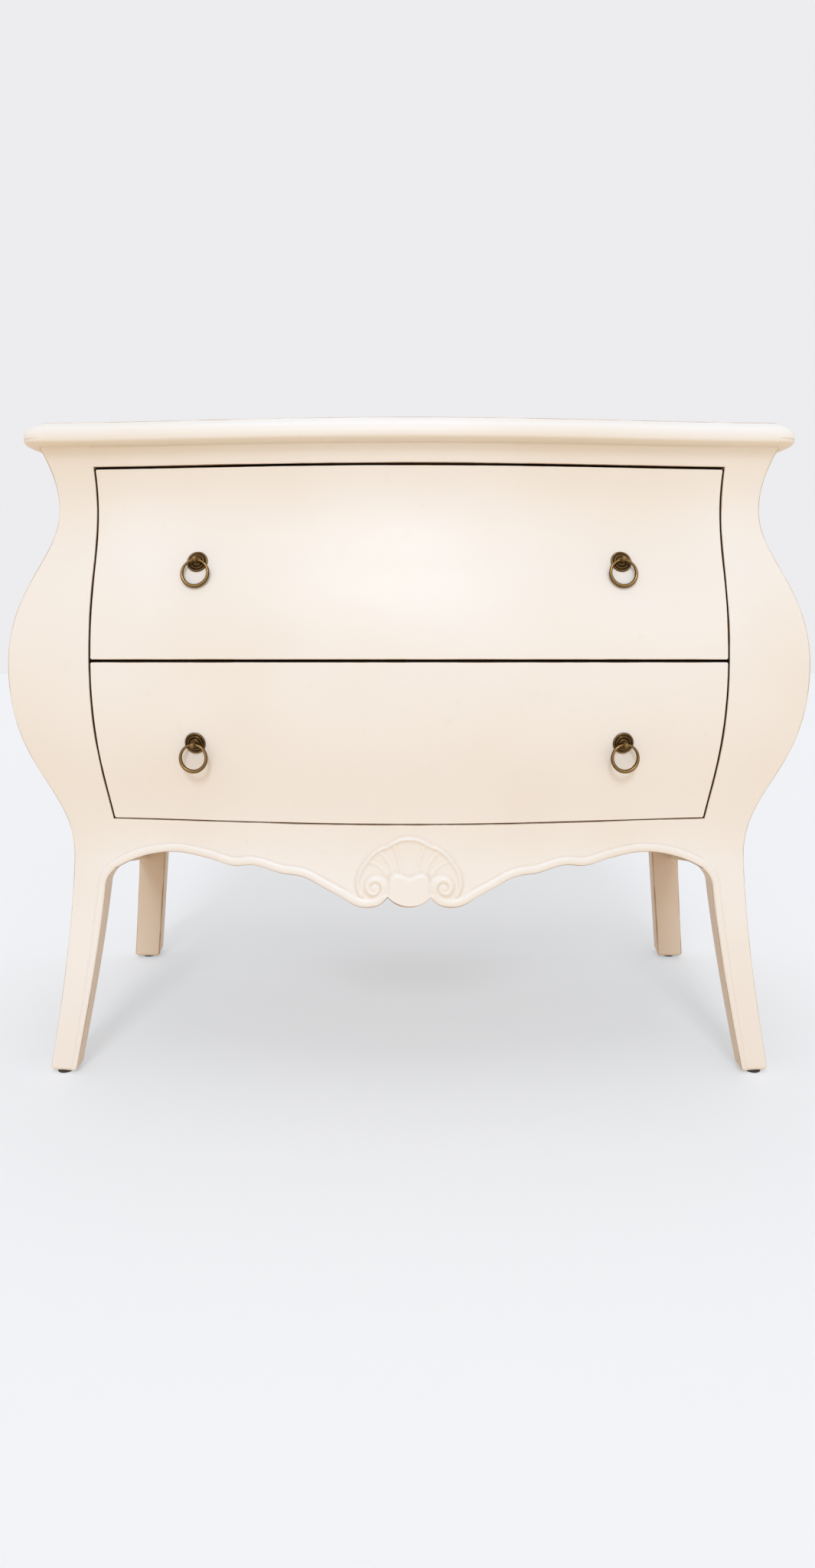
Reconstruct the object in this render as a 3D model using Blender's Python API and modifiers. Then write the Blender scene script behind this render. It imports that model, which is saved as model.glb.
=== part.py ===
"""Bombe dresser: a two-drawer chest whose front and sides swell, on four splayed legs.

Metres, +Z up. The front faces -Y, and the origin lies on the floor under the middle of the case.
"""
import math

import bmesh
import bpy
import numpy as np
from mathutils import Matrix, Vector

# Overall sizes
TOP_HEIGHT = 0.851
DEPTH = 0.480
FIT = 0.0003  # gap between pieces that are fitted to each other

# Top board
TOP_THICKNESS = 0.0343
TOP_OVERHANG = 0.0145
TOP_CORNER = 0.012  # length of each side of the rounded corner
TOP_UPPER_INSET = 0.0235  # from the nose of the edge in to the flat of the top
TOP_UPPER_DROP = 0.021  # height of the sloping upper part of the edge
TOP_UPPER_POWER = 1.5  # 2 would make the upper part an ellipse, 1 a flat chamfer
TOP_UNDER_INSET = 0.008
TOP_UNDER_RISE = 0.009

# Heights, measured down from the underside of the top
TOP_RAIL_HEIGHT = 0.0222
UPPER_FRONT_HEIGHT = 0.2535
LOWER_FRONT_HEIGHT = 0.211
WAIST_DROP = 0.0737
BULGE_DROP = 0.2857

# Heights, measured down from the drawer opening
KNEE_DROP = 0.050
APRON_END_DROP = 0.069

# Drawer opening
OPENING_HALF = 0.413
OPENING_TAPER = 0.017
TOP_GAP = 0.003
SPLIT_GAP = 0.0035
BOTTOM_GAP = 0.0012
SIDE_GAP = 0.002

# Width of a front post beyond the drawer opening, up to the case's front corner
NECK_STILE = 0.067
WAIST_STILE = 0.0515
BULGE_STILE = 0.1075
KNEE_STILE = 0.0415
FOOT_STILE = 0.0585

# How much farther out each side lies at the back than at the front corner
NECK_FLARE = 0.018
WAIST_FLARE = 0.0195
BULGE_FLARE = 0.0195
KNEE_FLARE = 0.037
FOOT_FLARE = 0.0285

# How far the middle of the front lies behind the foremost point of the bulge
NECK_SETBACK = 0.017
WAIST_SETBACK = 0.036
KNEE_SETBACK = 0.037
FOOT_SETBACK = 0.002

# Shape of the swelling lines: how long they stay near each turning point
BULGE_FULLNESS = 0.50
WAIST_FULLNESS = 0.31
BELLY_FULLNESS = 0.54
KNEE_FULLNESS = 0.36
SPLAY_POWER = 1.6

# Bow of the front in plan, from the middle to the edge of the drawer opening
BOW_TOP = 0.022
BOW_BOTTOM = 0.046
BOW_TURN = 2.3  # angle of the cosine that the bow follows

# Posts, panels and aprons
POST_DEPTH = 0.045
KNEE_DEPTH = 0.031
FOOT_DEPTH = 0.025
POST_EASING = 0.003  # flat that breaks the outer front corner
LEG_KNEE_WIDTH = 0.0475
LEG_FOOT_WIDTH = 0.035
LEG_TAPER_POWER = 1.2
BRACKET_WIDTH = 0.011
BRACKET_HEIGHT = 0.022
REAR_POST_DEPTH = 0.042
REAR_KNEE_WIDTH = 0.0555
REAR_FOOT_WIDTH = 0.047
REAR_SLANT = 0.0065  # how far the inner face of the rear leg turns out towards the back
REAR_SLANT_RUN = 0.080  # height below the knee over which it does
REAR_INSET = 0.005  # back of the case ahead of the back of the top
SIDE_THICKNESS = 0.015
SIDE_REAR_DROP = 0.155
SIDE_EDGE_POWER = 0.9  # 1 would make the lower edge of the side straight
APRON_THICKNESS = 0.024
BACK_THICKNESS = 0.006

# Bead along the apron's edge and down the legs
BEAD_WIDTH = 0.012
BEAD_HEIGHT = 0.0035
BEAD_RUN_IN = 0.020  # height over which the bead rises on the leg

# Lower edge of the apron: the round foot of the shell, as far as the notch beside it
LOBE_EDGE_DROP = 0.1055
NOTCH_PLACE = 0.0278
NOTCH_DROP = 0.0935
# Then the scroll: distance from the middle, drop below the opening
SCROLL_EDGE = (
    (NOTCH_PLACE, NOTCH_DROP),
    (0.033, 0.0995),
    (0.041, 0.1046),
    (0.049, 0.1066),
    (0.057, 0.1071),
    (0.065, 0.1060),
    (0.074, 0.1027),
    (0.0855, 0.0962),
    (0.1065, 0.0855),
)
# Then the wing: distance in from the knee, drop below the opening
WING_EDGE = (
    (0.257, 0.070),
    (0.230, 0.0665),
    (0.1895, 0.057),
    (0.167, 0.059),
    (0.129, 0.050),
    (0.087, 0.0437),
    (0.047, 0.049),
    (0.018, 0.0595),
    (0.0, APRON_END_DROP),
)

# Carved shell
SHELL_HALF = 0.066
SHELL_RISE = 0.059
SHELL_CENTRE_DROP = 0.0745
SHELL_HEIGHT = 0.007
SHELL_HOLLOW = 0.45  # share of the rim's radius at which the fan starts
SHELL_LIP = 0.07  # share of the rim's radius over which the rim falls to the apron
FLUTES = 9
FLUTE_DEPTH = 0.0016
VOLUTE_PLACE = 0.0455
VOLUTE_DROP = 0.0805
VOLUTE_RADIUS = 0.0145
VOLUTE_HEIGHT = 0.007
VOLUTE_TURNS = 1.5
VOLUTE_GROOVE = 0.25  # share of the volute's height that its spiral groove takes
LOBE_HALF = 0.028
LOBE_RISE = 0.022
LOBE_DROP = 0.0875
LOBE_HEIGHT = 0.008

# Inner frame
RAIL_DEPTH = 0.036  # least depth of the front rails, at their ends
RAIL_CLEARANCE = 0.0006
DIVIDER_HEIGHT = 0.032
DIVIDER_GAP = 0.002
BOTTOM_RAIL_RISE = 0.012
BOTTOM_RAIL_DROP = 0.030
REAR_RAIL_THICKNESS = 0.022
REAR_RAIL_DROP = 0.030
REAR_TOP_RAIL_HEIGHT = 0.050
RUNNER_THICKNESS = 0.016
RUNNER_LIP = 0.006  # how far the runner reaches in past the drawer side
GUIDE_GAP = 0.001
GUIDE_THICKNESS = 0.011
GUIDE_HEIGHT = 0.020
KICKER_WIDTH = 0.026
KICKER_GAP = 0.002
STOP_WIDTH = 0.060
STOP_HEIGHT = 0.014
STOP_THICKNESS = 0.012

# Drawers
FRONT_THICKNESS = 0.022
BOX_MARGIN = 0.014  # drawer box inside the edge of its opening
BOX_LIFT = 0.002  # drawer sides above the rail below them
BOX_HEADROOM = 0.015  # drawer sides below the rail above them
BOARD_THICKNESS = 0.012
HOUSING_DEPTH = 0.005
BOTTOM_THICKNESS = 0.006
BOTTOM_LIFT = 0.008  # underside of the drawer bottom above the side's lower edge
GROOVE_DEPTH = 0.006
BACK_LOWERING = 0.010  # drawer back below the top of the sides

# Handles
HANDLE_INSET = 0.139  # in from the edge of the drawer opening
UPPER_HANDLE_SHARE = 0.507  # of the height of its drawer front
LOWER_HANDLE_SHARE = 0.503
ROSETTE_RADIUS = 0.0138
ROSETTE_STEP_RADIUS = 0.0098
ROSETTE_BOSS_RADIUS = 0.0062
ROSETTE_RIM = 0.0016
ROSETTE_STEP = 0.0024
ROSETTE_BOSS = 0.0030
HANDLE_SEAT = 0.0005
SHANK_RADIUS = 0.0023
SHANK_CLEARANCE = 0.0004
FLANGE_RADIUS = 0.0042
FLANGE_HEIGHT = 0.0008
NECK_RADIUS = 0.0028
NECK_LENGTH = 0.0006
KNUCKLE_RADIUS = 0.0034
EYE_RADIUS = 0.0021
BALL_RADIUS = 0.0034
RING_RADIUS = 0.0171  # of the centre line of the wire
RING_TOP_WIRE = 0.0016
RING_BOTTOM_WIRE = 0.0025
NUT_RADIUS = 0.0046
NUT_HEIGHT = 0.0035
SHANK_END = 0.0015  # thread that stands out past the nut

# Foot glides
GLIDE_RADIUS = 0.011
GLIDE_HEIGHT = 0.004
GLIDE_CHAMFER = 0.001

# Fineness of the faceted curves
CURVE_SAMPLES = 200
CASE_LEVELS = 20
KNEE_LEVELS = 6
LEG_LEVELS = 9
FRONT_COLUMNS = 18
PANEL_COLUMNS = 11
UPPER_ROWS = 11
LOWER_ROWS = 10
WING_COLUMNS = 20
SHELL_COLUMNS = 40
SHELL_ZONE = 0.080
APRON_ROWS = 9
SIDE_COLUMNS = 12
SIDE_ROWS = 5
EDGE_STEPS = 4
CORNER_STEPS = 4
TURN_STEPS = 16
RING_STEPS = 20
BALL_STEPS = 5
SIDE_EDGE_STEPS = 8
CUT_MARGIN = 0.002  # how far a cutter runs past what it cuts

# Heights worked out from the sizes above
CASE_TOP = TOP_HEIGHT - TOP_THICKNESS
OPENING_TOP = CASE_TOP - TOP_RAIL_HEIGHT
SPLIT = OPENING_TOP - UPPER_FRONT_HEIGHT
OPENING_BOTTOM = SPLIT - LOWER_FRONT_HEIGHT
BULGE = CASE_TOP - BULGE_DROP
WAIST = CASE_TOP - WAIST_DROP
KNEE = OPENING_BOTTOM - KNEE_DROP
APRON_END = OPENING_BOTTOM - APRON_END_DROP
FOOT = GLIDE_HEIGHT + FIT

# Widths worked out from the sizes above
NECK_HALF = OPENING_HALF + NECK_STILE
WAIST_HALF = OPENING_HALF + WAIST_STILE
BULGE_HALF = OPENING_HALF + BULGE_STILE
KNEE_HALF = OPENING_HALF + KNEE_STILE
FOOT_HALF = OPENING_HALF + FOOT_STILE
REAR_KNEE_HALF = KNEE_HALF + KNEE_FLARE
REAR_FOOT_HALF = FOOT_HALF + FOOT_FLARE
LEG_KNEE_INNER = KNEE_HALF - LEG_KNEE_WIDTH
LEG_FOOT_INNER = FOOT_HALF - LEG_FOOT_WIDTH
REAR_POST_INNER = REAR_KNEE_HALF - REAR_KNEE_WIDTH
REAR_FOOT_INNER = REAR_FOOT_HALF - REAR_FOOT_WIDTH
HANDLE_HALF = OPENING_HALF - HANDLE_INSET

# Depths worked out from the sizes above
TOP_BACK = DEPTH / 2
CASE_BACK = TOP_BACK - REAR_INSET
REAR_POST_FRONT = CASE_BACK - REAR_POST_DEPTH
REAR_RAIL_BACK = CASE_BACK - BACK_THICKNESS - FIT
REAR_RAIL_FRONT = REAR_RAIL_BACK - REAR_RAIL_THICKNESS
DRAWER_REAR = REAR_RAIL_FRONT - STOP_THICKNESS - 2 * FIT


def ease(share, start_fullness, end_fullness):
    """S-curve from 0 to 1, level at both ends; more fullness stays near that end for longer."""
    step = np.linspace(0, 1, CURVE_SAMPLES)
    early = 3 * (1 - step) ** 2 * step
    late = 3 * (1 - step) * step**2
    along = early * start_fullness + late * (1 - end_fullness) + step**3
    return float(np.interp(share, along, late + step**3))


def bombe_line(z, foot, knee, bulge, waist, neck):
    """Value at height z of a line that swells at the bulge and draws in at the waist and the knee."""
    if z > WAIST:
        return waist + (neck - waist) * ((z - WAIST) / (CASE_TOP - WAIST)) ** 2
    if z > BULGE:
        return bulge + (waist - bulge) * ease((z - BULGE) / (WAIST - BULGE), BULGE_FULLNESS, WAIST_FULLNESS)
    if z > KNEE:
        return bulge + (knee - bulge) * ease((BULGE - z) / (BULGE - KNEE), BELLY_FULLNESS, KNEE_FULLNESS)
    return knee + (foot - knee) * ((KNEE - z) / KNEE) ** SPLAY_POWER


def corner_x(z):
    """Half width of the case at its front corners."""
    return bombe_line(z, FOOT_HALF, KNEE_HALF, BULGE_HALF, WAIST_HALF, NECK_HALF)


def rear_x(z):
    """Half width of the case at its back."""
    return corner_x(z) + bombe_line(z, FOOT_FLARE, KNEE_FLARE, BULGE_FLARE, WAIST_FLARE, NECK_FLARE)


def bow(x, z):
    """How far the bowed front falls back at x from where it is at the middle."""
    depth = float(np.interp(z, (KNEE, CASE_TOP), (BOW_BOTTOM, BOW_TOP)))
    return depth * (1 - math.cos(BOW_TURN * x / OPENING_HALF)) / (1 - math.cos(BOW_TURN))


def front_y(x, z):
    """Front surface of the case."""
    return bombe_line(z, FOOT_SETBACK, KNEE_SETBACK, 0, WAIST_SETBACK, NECK_SETBACK) + bow(x, z) - DEPTH / 2


def side_x(y, z):
    """Side surface of the case, which runs straight from the front corner to the back."""
    corner = corner_x(z)
    start = front_y(corner, z)
    return corner + (rear_x(z) - corner) * (y - start) / (CASE_BACK - start)


def opening_x(z):
    """Edge of the drawer opening and, below it, of the apron."""
    if z > SPLIT:
        return OPENING_HALF
    if z > OPENING_BOTTOM:
        return OPENING_HALF - OPENING_TAPER * ((SPLIT - z) / LOWER_FRONT_HEIGHT) ** 2
    lower = OPENING_HALF - OPENING_TAPER
    corner = LEG_KNEE_INNER - BRACKET_WIDTH
    return lower + (corner - lower) * (OPENING_BOTTOM - z) / APRON_END_DROP


def post_inner_x(z):
    """Inner edge of a front post: the drawer opening, the apron's end, then the leg."""
    if z >= APRON_END:
        return opening_x(z)
    down = (APRON_END - z) / APRON_END
    bracket = BRACKET_WIDTH * max(0, 1 - (APRON_END - z) / BRACKET_HEIGHT) ** 2
    return LEG_KNEE_INNER + (LEG_FOOT_INNER - LEG_KNEE_INNER) * down**LEG_TAPER_POWER - bracket


def post_depth(z):
    """Depth of a front post, which thins from the drawer opening to the knee and tapers down the leg."""
    return float(np.interp(z, (0, APRON_END, OPENING_BOTTOM), (FOOT_DEPTH, KNEE_DEPTH, POST_DEPTH)))


def post_inner_back_x(z):
    """Inner edge of a front post at its back: the inner face of the leg turns out with the side."""
    if z >= APRON_END:
        return post_inner_x(z)
    corner = corner_x(z)
    turn = (rear_x(z) - corner) / (CASE_BACK - front_y(corner, z))
    return post_inner_x(z) + turn * post_depth(z)


RAIL_BACK = front_y(opening_x(OPENING_BOTTOM), OPENING_BOTTOM) + APRON_THICKNESS + RAIL_DEPTH


def steps(start, end, count):
    """Evenly spaced values from start to end, both included."""
    return [float(value) for value in np.linspace(start, end, count + 1)]


def smooth_line(points, at):
    """Value at one place of a smooth curve through (place, value) points."""
    places, values = np.array(points).T
    slopes = np.gradient(values, places)
    index = int(np.clip(np.searchsorted(places, at) - 1, 0, len(places) - 2))
    span = places[index + 1] - places[index]
    t = (at - places[index]) / span
    start = (1 + 2 * t) * (1 - t) ** 2 * values[index] + t * (1 - t) ** 2 * span * slopes[index]
    end = t**2 * (3 - 2 * t) * values[index + 1] + t**2 * (t - 1) * span * slopes[index + 1]
    return float(start + end)


def clear_scene():
    """Remove every object and collection that the scene starts with."""
    for old in list(bpy.data.objects):
        bpy.data.objects.remove(old, do_unlink=True)
    for old in list(bpy.data.collections):
        bpy.data.collections.remove(old)


def new_collection(name):
    """Collection linked to the scene."""
    collection = bpy.data.collections.new(name)
    bpy.context.scene.collection.children.link(collection)
    return collection


def new_material(name, colour, roughness, metallic=0.0):
    """Principled material."""
    material = bpy.data.materials.new(name)
    material.use_nodes = True
    shader = material.node_tree.nodes["Principled BSDF"]
    shader.inputs["Base Color"].default_value = (*colour, 1)
    shader.inputs["Roughness"].default_value = roughness
    shader.inputs["Metallic"].default_value = metallic
    return material


clear_scene()
PARTS = new_collection("bombe_dresser")
CUTTERS = new_collection("cutters")
PAINT = new_material("cream_paint", (0.86, 0.79, 0.70), 0.45)
BARE_WOOD = new_material("bare_wood", (0.55, 0.38, 0.22), 0.65)
PLYWOOD = new_material("plywood", (0.62, 0.46, 0.29), 0.70)
BRASS = new_material("aged_brass", (0.22, 0.15, 0.07), 0.42, 0.9)
STEEL = new_material("steel", (0.45, 0.44, 0.42), 0.40, 1.0)
DARK_GLIDE = new_material("dark_glide", (0.05, 0.035, 0.025), 0.60)


def new_empty(name, parent=None):
    """Empty that carries a moving assembly."""
    empty = bpy.data.objects.new(name, None)
    PARTS.objects.link(empty)
    empty.parent = parent
    return empty


CASE = new_empty("case")
UPPER_DRAWER = new_empty("upper_drawer", CASE)
LOWER_DRAWER = new_empty("lower_drawer", CASE)


def add_part(name, mesh, material, parent=CASE, matrix=None):
    """Named object for one piece."""
    piece = bpy.data.objects.new(name, mesh)
    PARTS.objects.link(piece)
    mesh.materials.append(material)
    piece.parent = parent
    piece.matrix_world = matrix or Matrix.Identity(4)
    return piece


def add_cutter(name, mesh, matrix=None):
    """Helper that only cuts other pieces."""
    cutter = bpy.data.objects.new(name, mesh)
    CUTTERS.objects.link(cutter)
    cutter.hide_render = True
    cutter.display_type = "WIRE"
    cutter.matrix_world = matrix or Matrix.Identity(4)
    return cutter


def cut(piece, cutter):
    """Take the cutter's shape out of the piece."""
    boolean = piece.modifiers.new(cutter.name, "BOOLEAN")
    boolean.operation = "DIFFERENCE"
    boolean.object = cutter


def finish_mesh(name, shape, smooth_angle=None):
    """Mesh from a bmesh, with its faces turned outwards."""
    bmesh.ops.recalc_face_normals(shape, faces=shape.faces)
    mesh = bpy.data.meshes.new(name)
    shape.to_mesh(mesh)
    shape.free()
    if smooth_angle:
        mesh.shade_smooth()
        mesh.set_sharp_from_angle(angle=smooth_angle)
    return mesh


def box_mesh(name, low, high):
    """Box between two opposite corners."""
    size = Vector(high) - Vector(low)
    shape = bmesh.new()
    placed = Matrix.Translation(Vector(low) + size / 2) @ Matrix.Diagonal((*size, 1))
    bmesh.ops.create_cube(shape, size=1, matrix=placed)
    return finish_mesh(name, shape)


def loft_mesh(name, sections, laddered=False):
    """Skin over closed sections of equal counts; a laddered end joins each point to its opposite one."""
    shape = bmesh.new()
    loops = [[shape.verts.new(point) for point in section] for section in sections]
    count = len(loops[0])
    for near, far in zip(loops, loops[1:]):
        for index in range(count):
            after = (index + 1) % count
            shape.faces.new((near[index], near[after], far[after], far[index]))
    for loop in (loops[0], loops[-1]):
        if not laddered:
            shape.faces.new(loop)
            continue
        for index in range(count // 2 - 1):
            shape.faces.new((loop[index], loop[index + 1], loop[-2 - index], loop[-1 - index]))
    bmesh.ops.triangulate(shape, faces=shape.faces)
    return finish_mesh(name, shape, math.radians(35))


def outline_mesh(name, points, thickness):
    """Plate with this outline in its own XY plane, centred on it."""
    curve = bpy.data.curves.new(name, "CURVE")
    curve.dimensions = "2D"
    curve.fill_mode = "BOTH"
    curve.extrude = thickness / 2
    spline = curve.splines.new("POLY")
    spline.points.add(len(points) - 1)
    for point, (across, up) in zip(spline.points, points):
        point.co = (across, up, 0, 1)
    spline.use_cyclic_u = True
    guide = bpy.data.objects.new(name + "_outline", curve)
    CUTTERS.objects.link(guide)
    graph = bpy.context.evaluated_depsgraph_get()
    flat = bpy.data.meshes.new_from_object(guide.evaluated_get(graph))
    shape = bmesh.new()
    shape.from_mesh(flat)
    bmesh.ops.remove_doubles(shape, verts=shape.verts, dist=0.00001)
    bpy.data.objects.remove(guide)
    bpy.data.meshes.remove(flat)
    return finish_mesh(name, shape)


def turned_part(name, profile, material, parent, matrix, segments=TURN_STEPS):
    """Piece turned about its own Z axis from (radius, height) points that run from top to bottom."""
    mesh = bpy.data.meshes.new(name)
    points = [(radius, 0, height) for radius, height in profile]
    mesh.from_pydata(points, [(index, index + 1) for index in range(len(points) - 1)], [])
    piece = add_part(name, mesh, material, parent, matrix)
    screw = piece.modifiers.new("turning", "SCREW")
    screw.axis = "Z"
    screw.steps = segments
    screw.render_steps = segments
    screw.use_merge_vertices = True
    screw.merge_threshold = 0.00001
    screw.use_smooth_shade = True
    return piece


def cylinder_mesh(name, radius, bottom, top, segments=TURN_STEPS):
    """Cylinder on its own Z axis."""
    shape = bmesh.new()
    placed = Matrix.Translation((0, 0, (bottom + top) / 2))
    bmesh.ops.create_cone(
        shape, cap_ends=True, segments=segments, radius1=radius, radius2=radius, depth=top - bottom, matrix=placed
    )
    return finish_mesh(name, shape)


def mirrored(points, side):
    """Points of a right-hand section moved to the given side, 1 for right and -1 for left."""
    return [(side * x, y, z) for x, y, z in points]


SIDES = (("left", -1), ("right", 1))
YZ_PLANE = Matrix(((0, 0, 1, 0), (1, 0, 0, 0), (0, 1, 0, 0), (0, 0, 0, 1)))
CASE_HEIGHTS = steps(OPENING_BOTTOM, CASE_TOP - FIT, CASE_LEVELS)
POST_HEIGHTS = (
    steps(FOOT, APRON_END, LEG_LEVELS)[:-1] + steps(APRON_END, OPENING_BOTTOM, KNEE_LEVELS)[:-1] + CASE_HEIGHTS
)


def top_edge_profile():
    """(inset from the nose, height above the underside) of the moulded edge, from the bottom to the top."""
    profile = []
    for turn in steps(0, math.pi / 2, EDGE_STEPS):
        rise = TOP_UNDER_RISE * (1 - math.cos(turn))
        profile.append((TOP_UNDER_INSET * (1 - math.sin(turn)), rise))
    start = TOP_THICKNESS - TOP_UPPER_DROP
    for turn in steps(0, math.pi / 2, EDGE_STEPS):
        rise = math.sin(turn) ** (2 / TOP_UPPER_POWER)
        inset = 1 - math.cos(turn) ** (2 / TOP_UPPER_POWER)
        profile.append((TOP_UPPER_INSET * inset, start + TOP_UPPER_DROP * rise))
    return profile


def top_outline(inset, z):
    """Outline of the top board, set in from the nose of its moulded edge."""
    out = TOP_OVERHANG - inset

    def side_point(y):
        return Vector((side_x(y, CASE_TOP) + out, y, z))

    def front_point(x):
        return Vector((x, front_y(x, CASE_TOP) - out, z))

    corner = front_point(corner_x(CASE_TOP) + out)
    before = side_point(corner.y + TOP_CORNER)
    after = front_point(corner.x - TOP_CORNER)
    right = [side_point(TOP_BACK)]
    for t in steps(0, 1, CORNER_STEPS):
        right.append(before * (1 - t) ** 2 + corner * 2 * t * (1 - t) + after * t**2)
    front = [front_point(x) for x in steps(after.x, -after.x, FRONT_COLUMNS)[1:-1]]
    left = [Vector((-point.x, point.y, z)) for point in reversed(right)]
    return right + front + left


def add_top_board():
    sections = [top_outline(inset, CASE_TOP + rise) for inset, rise in top_edge_profile()]
    add_part("top_board", loft_mesh("top_board", sections), PAINT)


def bead_rise(place):
    """Height of the half-round bead at a distance in from its edge."""
    across = 2 * place / BEAD_WIDTH - 1
    return BEAD_HEIGHT * math.sqrt(max(0, 1 - across**2))


def front_post_section(z):
    """Section of the right front post: beaded front, eased corner, side, back."""
    inner = post_inner_x(z)
    corner = corner_x(z)
    depth = post_depth(z)
    bead = min(1, max(0, (APRON_END - z) / BEAD_RUN_IN))
    section = []
    for place in steps(0, BEAD_WIDTH, 4):
        x = inner + place
        section.append((x, front_y(x, z) - bead * bead_rise(place), z))
    for x in steps(inner + BEAD_WIDTH, corner - POST_EASING, 3)[1:]:
        section.append((x, front_y(x, z), z))
    eased = front_y(corner, z) + POST_EASING
    section.append((side_x(eased, z), eased, z))
    back = front_y(corner, z) + depth
    section.append((side_x(back, z), back, z))
    section.append((post_inner_back_x(z), front_y(inner, z) + depth, z))
    return section


def add_front_posts():
    for name, side in SIDES:
        sections = [mirrored(front_post_section(z), side) for z in POST_HEIGHTS]
        add_part(f"front_post_{name}", loft_mesh("front_post", sections), PAINT)


def rear_post_section(z):
    """Section of the right rear post, whose leg tapers on the inside and turns out with the side."""
    inner = float(np.interp(z, (0, KNEE), (REAR_FOOT_INNER, REAR_POST_INNER)))
    slant = float(np.interp(z, (KNEE - REAR_SLANT_RUN, KNEE), (REAR_SLANT, 0)))
    return [
        (inner, REAR_POST_FRONT, z),
        (side_x(REAR_POST_FRONT, z), REAR_POST_FRONT, z),
        (side_x(CASE_BACK, z), CASE_BACK, z),
        (inner + slant, CASE_BACK, z),
    ]


def add_rear_posts():
    for name, side in SIDES:
        sections = [mirrored(rear_post_section(z), side) for z in POST_HEIGHTS]
        add_part(f"rear_post_{name}", loft_mesh("rear_post", sections), PAINT)


def post_back_y(x, z):
    """Back face of a front post, straight from its inner edge to the side of the case."""
    inner = post_inner_back_x(z)
    outer = front_y(corner_x(z), z) + post_depth(z)
    start = front_y(post_inner_x(z), z) + post_depth(z)
    return start + (outer - start) * (x - inner) / (side_x(outer, z) - inner)


def side_strip(share, z):
    """Outer and inner point of the side at height z, this share of the way from front to rear post."""
    outer_front = post_back_y(side_x(front_y(corner_x(z), z) + post_depth(z), z), z) + 2 * FIT
    outer_y = outer_front + (REAR_POST_FRONT - FIT - outer_front) * share
    outer = side_x(outer_y, z)
    inner_front = post_back_y(side_x(outer_front, z) - SIDE_THICKNESS, z) + 2 * FIT
    inner_y = inner_front + (REAR_POST_FRONT - FIT - inner_front) * share
    return (outer, outer_y, z), (side_x(inner_y, z) - SIDE_THICKNESS, inner_y, z)


def add_side_panels():
    for name, side in SIDES:
        sections = []
        for z in [OPENING_BOTTOM + FIT] + CASE_HEIGHTS[1:]:
            front_outer, front_inner = side_strip(0, z)
            rear_outer, rear_inner = side_strip(1, z)
            sections.append(mirrored([front_outer, rear_outer, rear_inner, front_inner], side))
        add_part(f"side_panel_{name}", loft_mesh("side_panel", sections), PAINT)


def side_edge_drop(share):
    """Drop of the side apron's lower edge below the opening, which falls from the knee to the rear post."""
    return APRON_END_DROP + (SIDE_REAR_DROP - APRON_END_DROP) * share**SIDE_EDGE_POWER


def add_side_aprons():
    for name, side in SIDES:
        sections = []
        for share in steps(0, 1, SIDE_COLUMNS):
            low = OPENING_BOTTOM - side_edge_drop(share)
            strips = [side_strip(share, z) for z in steps(low, OPENING_BOTTOM, SIDE_ROWS)]
            outer = [strip[0] for strip in strips]
            inner = [strip[1] for strip in reversed(strips)]
            sections.append(mirrored(outer + inner, side))
        add_part(f"side_apron_{name}", loft_mesh("side_apron", sections, laddered=True), PAINT)


def apron_edge_drop(x):
    """Drop of the apron's lower edge below the opening, at a distance from the middle."""
    if x < NOTCH_PLACE:
        rise = LOBE_EDGE_DROP - NOTCH_DROP
        radius = (NOTCH_PLACE**2 + rise**2) / (2 * rise)
        return LOBE_EDGE_DROP - radius + math.sqrt(radius**2 - x**2)
    knee = opening_x(APRON_END)
    wing = [(knee - inward, drop) for inward, drop in WING_EDGE]
    return smooth_line(list(SCROLL_EDGE) + wing, x)


def fan_relief(x, z):
    """Height of the shell's fluted fan and its raised rim."""
    across = x / SHELL_HALF
    up = (z - OPENING_BOTTOM + SHELL_CENTRE_DROP) / SHELL_RISE
    reach = math.hypot(across, up)
    if up < 0 or reach > 1 + SHELL_LIP:
        return 0
    if reach > 1:
        return SHELL_HEIGHT * (1 - (reach - 1) / SHELL_LIP)
    spread = max(0, (reach - SHELL_HOLLOW) / (1 - SHELL_HOLLOW))
    wave = math.cos(2 * FLUTES * (math.atan2(up, across) - math.pi / 2))
    return SHELL_HEIGHT * spread**1.5 + FLUTE_DEPTH * spread * (1 - spread) * 4 * wave


def volute_relief(x, z):
    """Height of the scroll on either side of the shell."""
    along = abs(x) - VOLUTE_PLACE
    up = z - OPENING_BOTTOM + VOLUTE_DROP
    reach = math.hypot(along, up) / VOLUTE_RADIUS
    if reach > 1:
        return 0
    turn = math.atan2(up, along) / (2 * math.pi)
    wave = math.cos(2 * math.pi * (VOLUTE_TURNS * reach - turn))
    return VOLUTE_HEIGHT * (1 - VOLUTE_GROOVE * (1 - wave)) * (1 - reach**4)


def lobe_relief(x, z):
    """Height of the smooth lobe at the foot of the shell."""
    reach = math.hypot(x / LOBE_HALF, (z - OPENING_BOTTOM + LOBE_DROP) / LOBE_RISE)
    return LOBE_HEIGHT * math.sqrt(max(0, 1 - reach**2))


def apron_relief(x, z, place):
    """Height of the apron's carving over its plain surface, place being the distance up from its lower edge."""
    bead = bead_rise(place) if abs(x) > VOLUTE_PLACE else 0
    return max(bead, fan_relief(x, z), volute_relief(x, z), lobe_relief(x, z))


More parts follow.
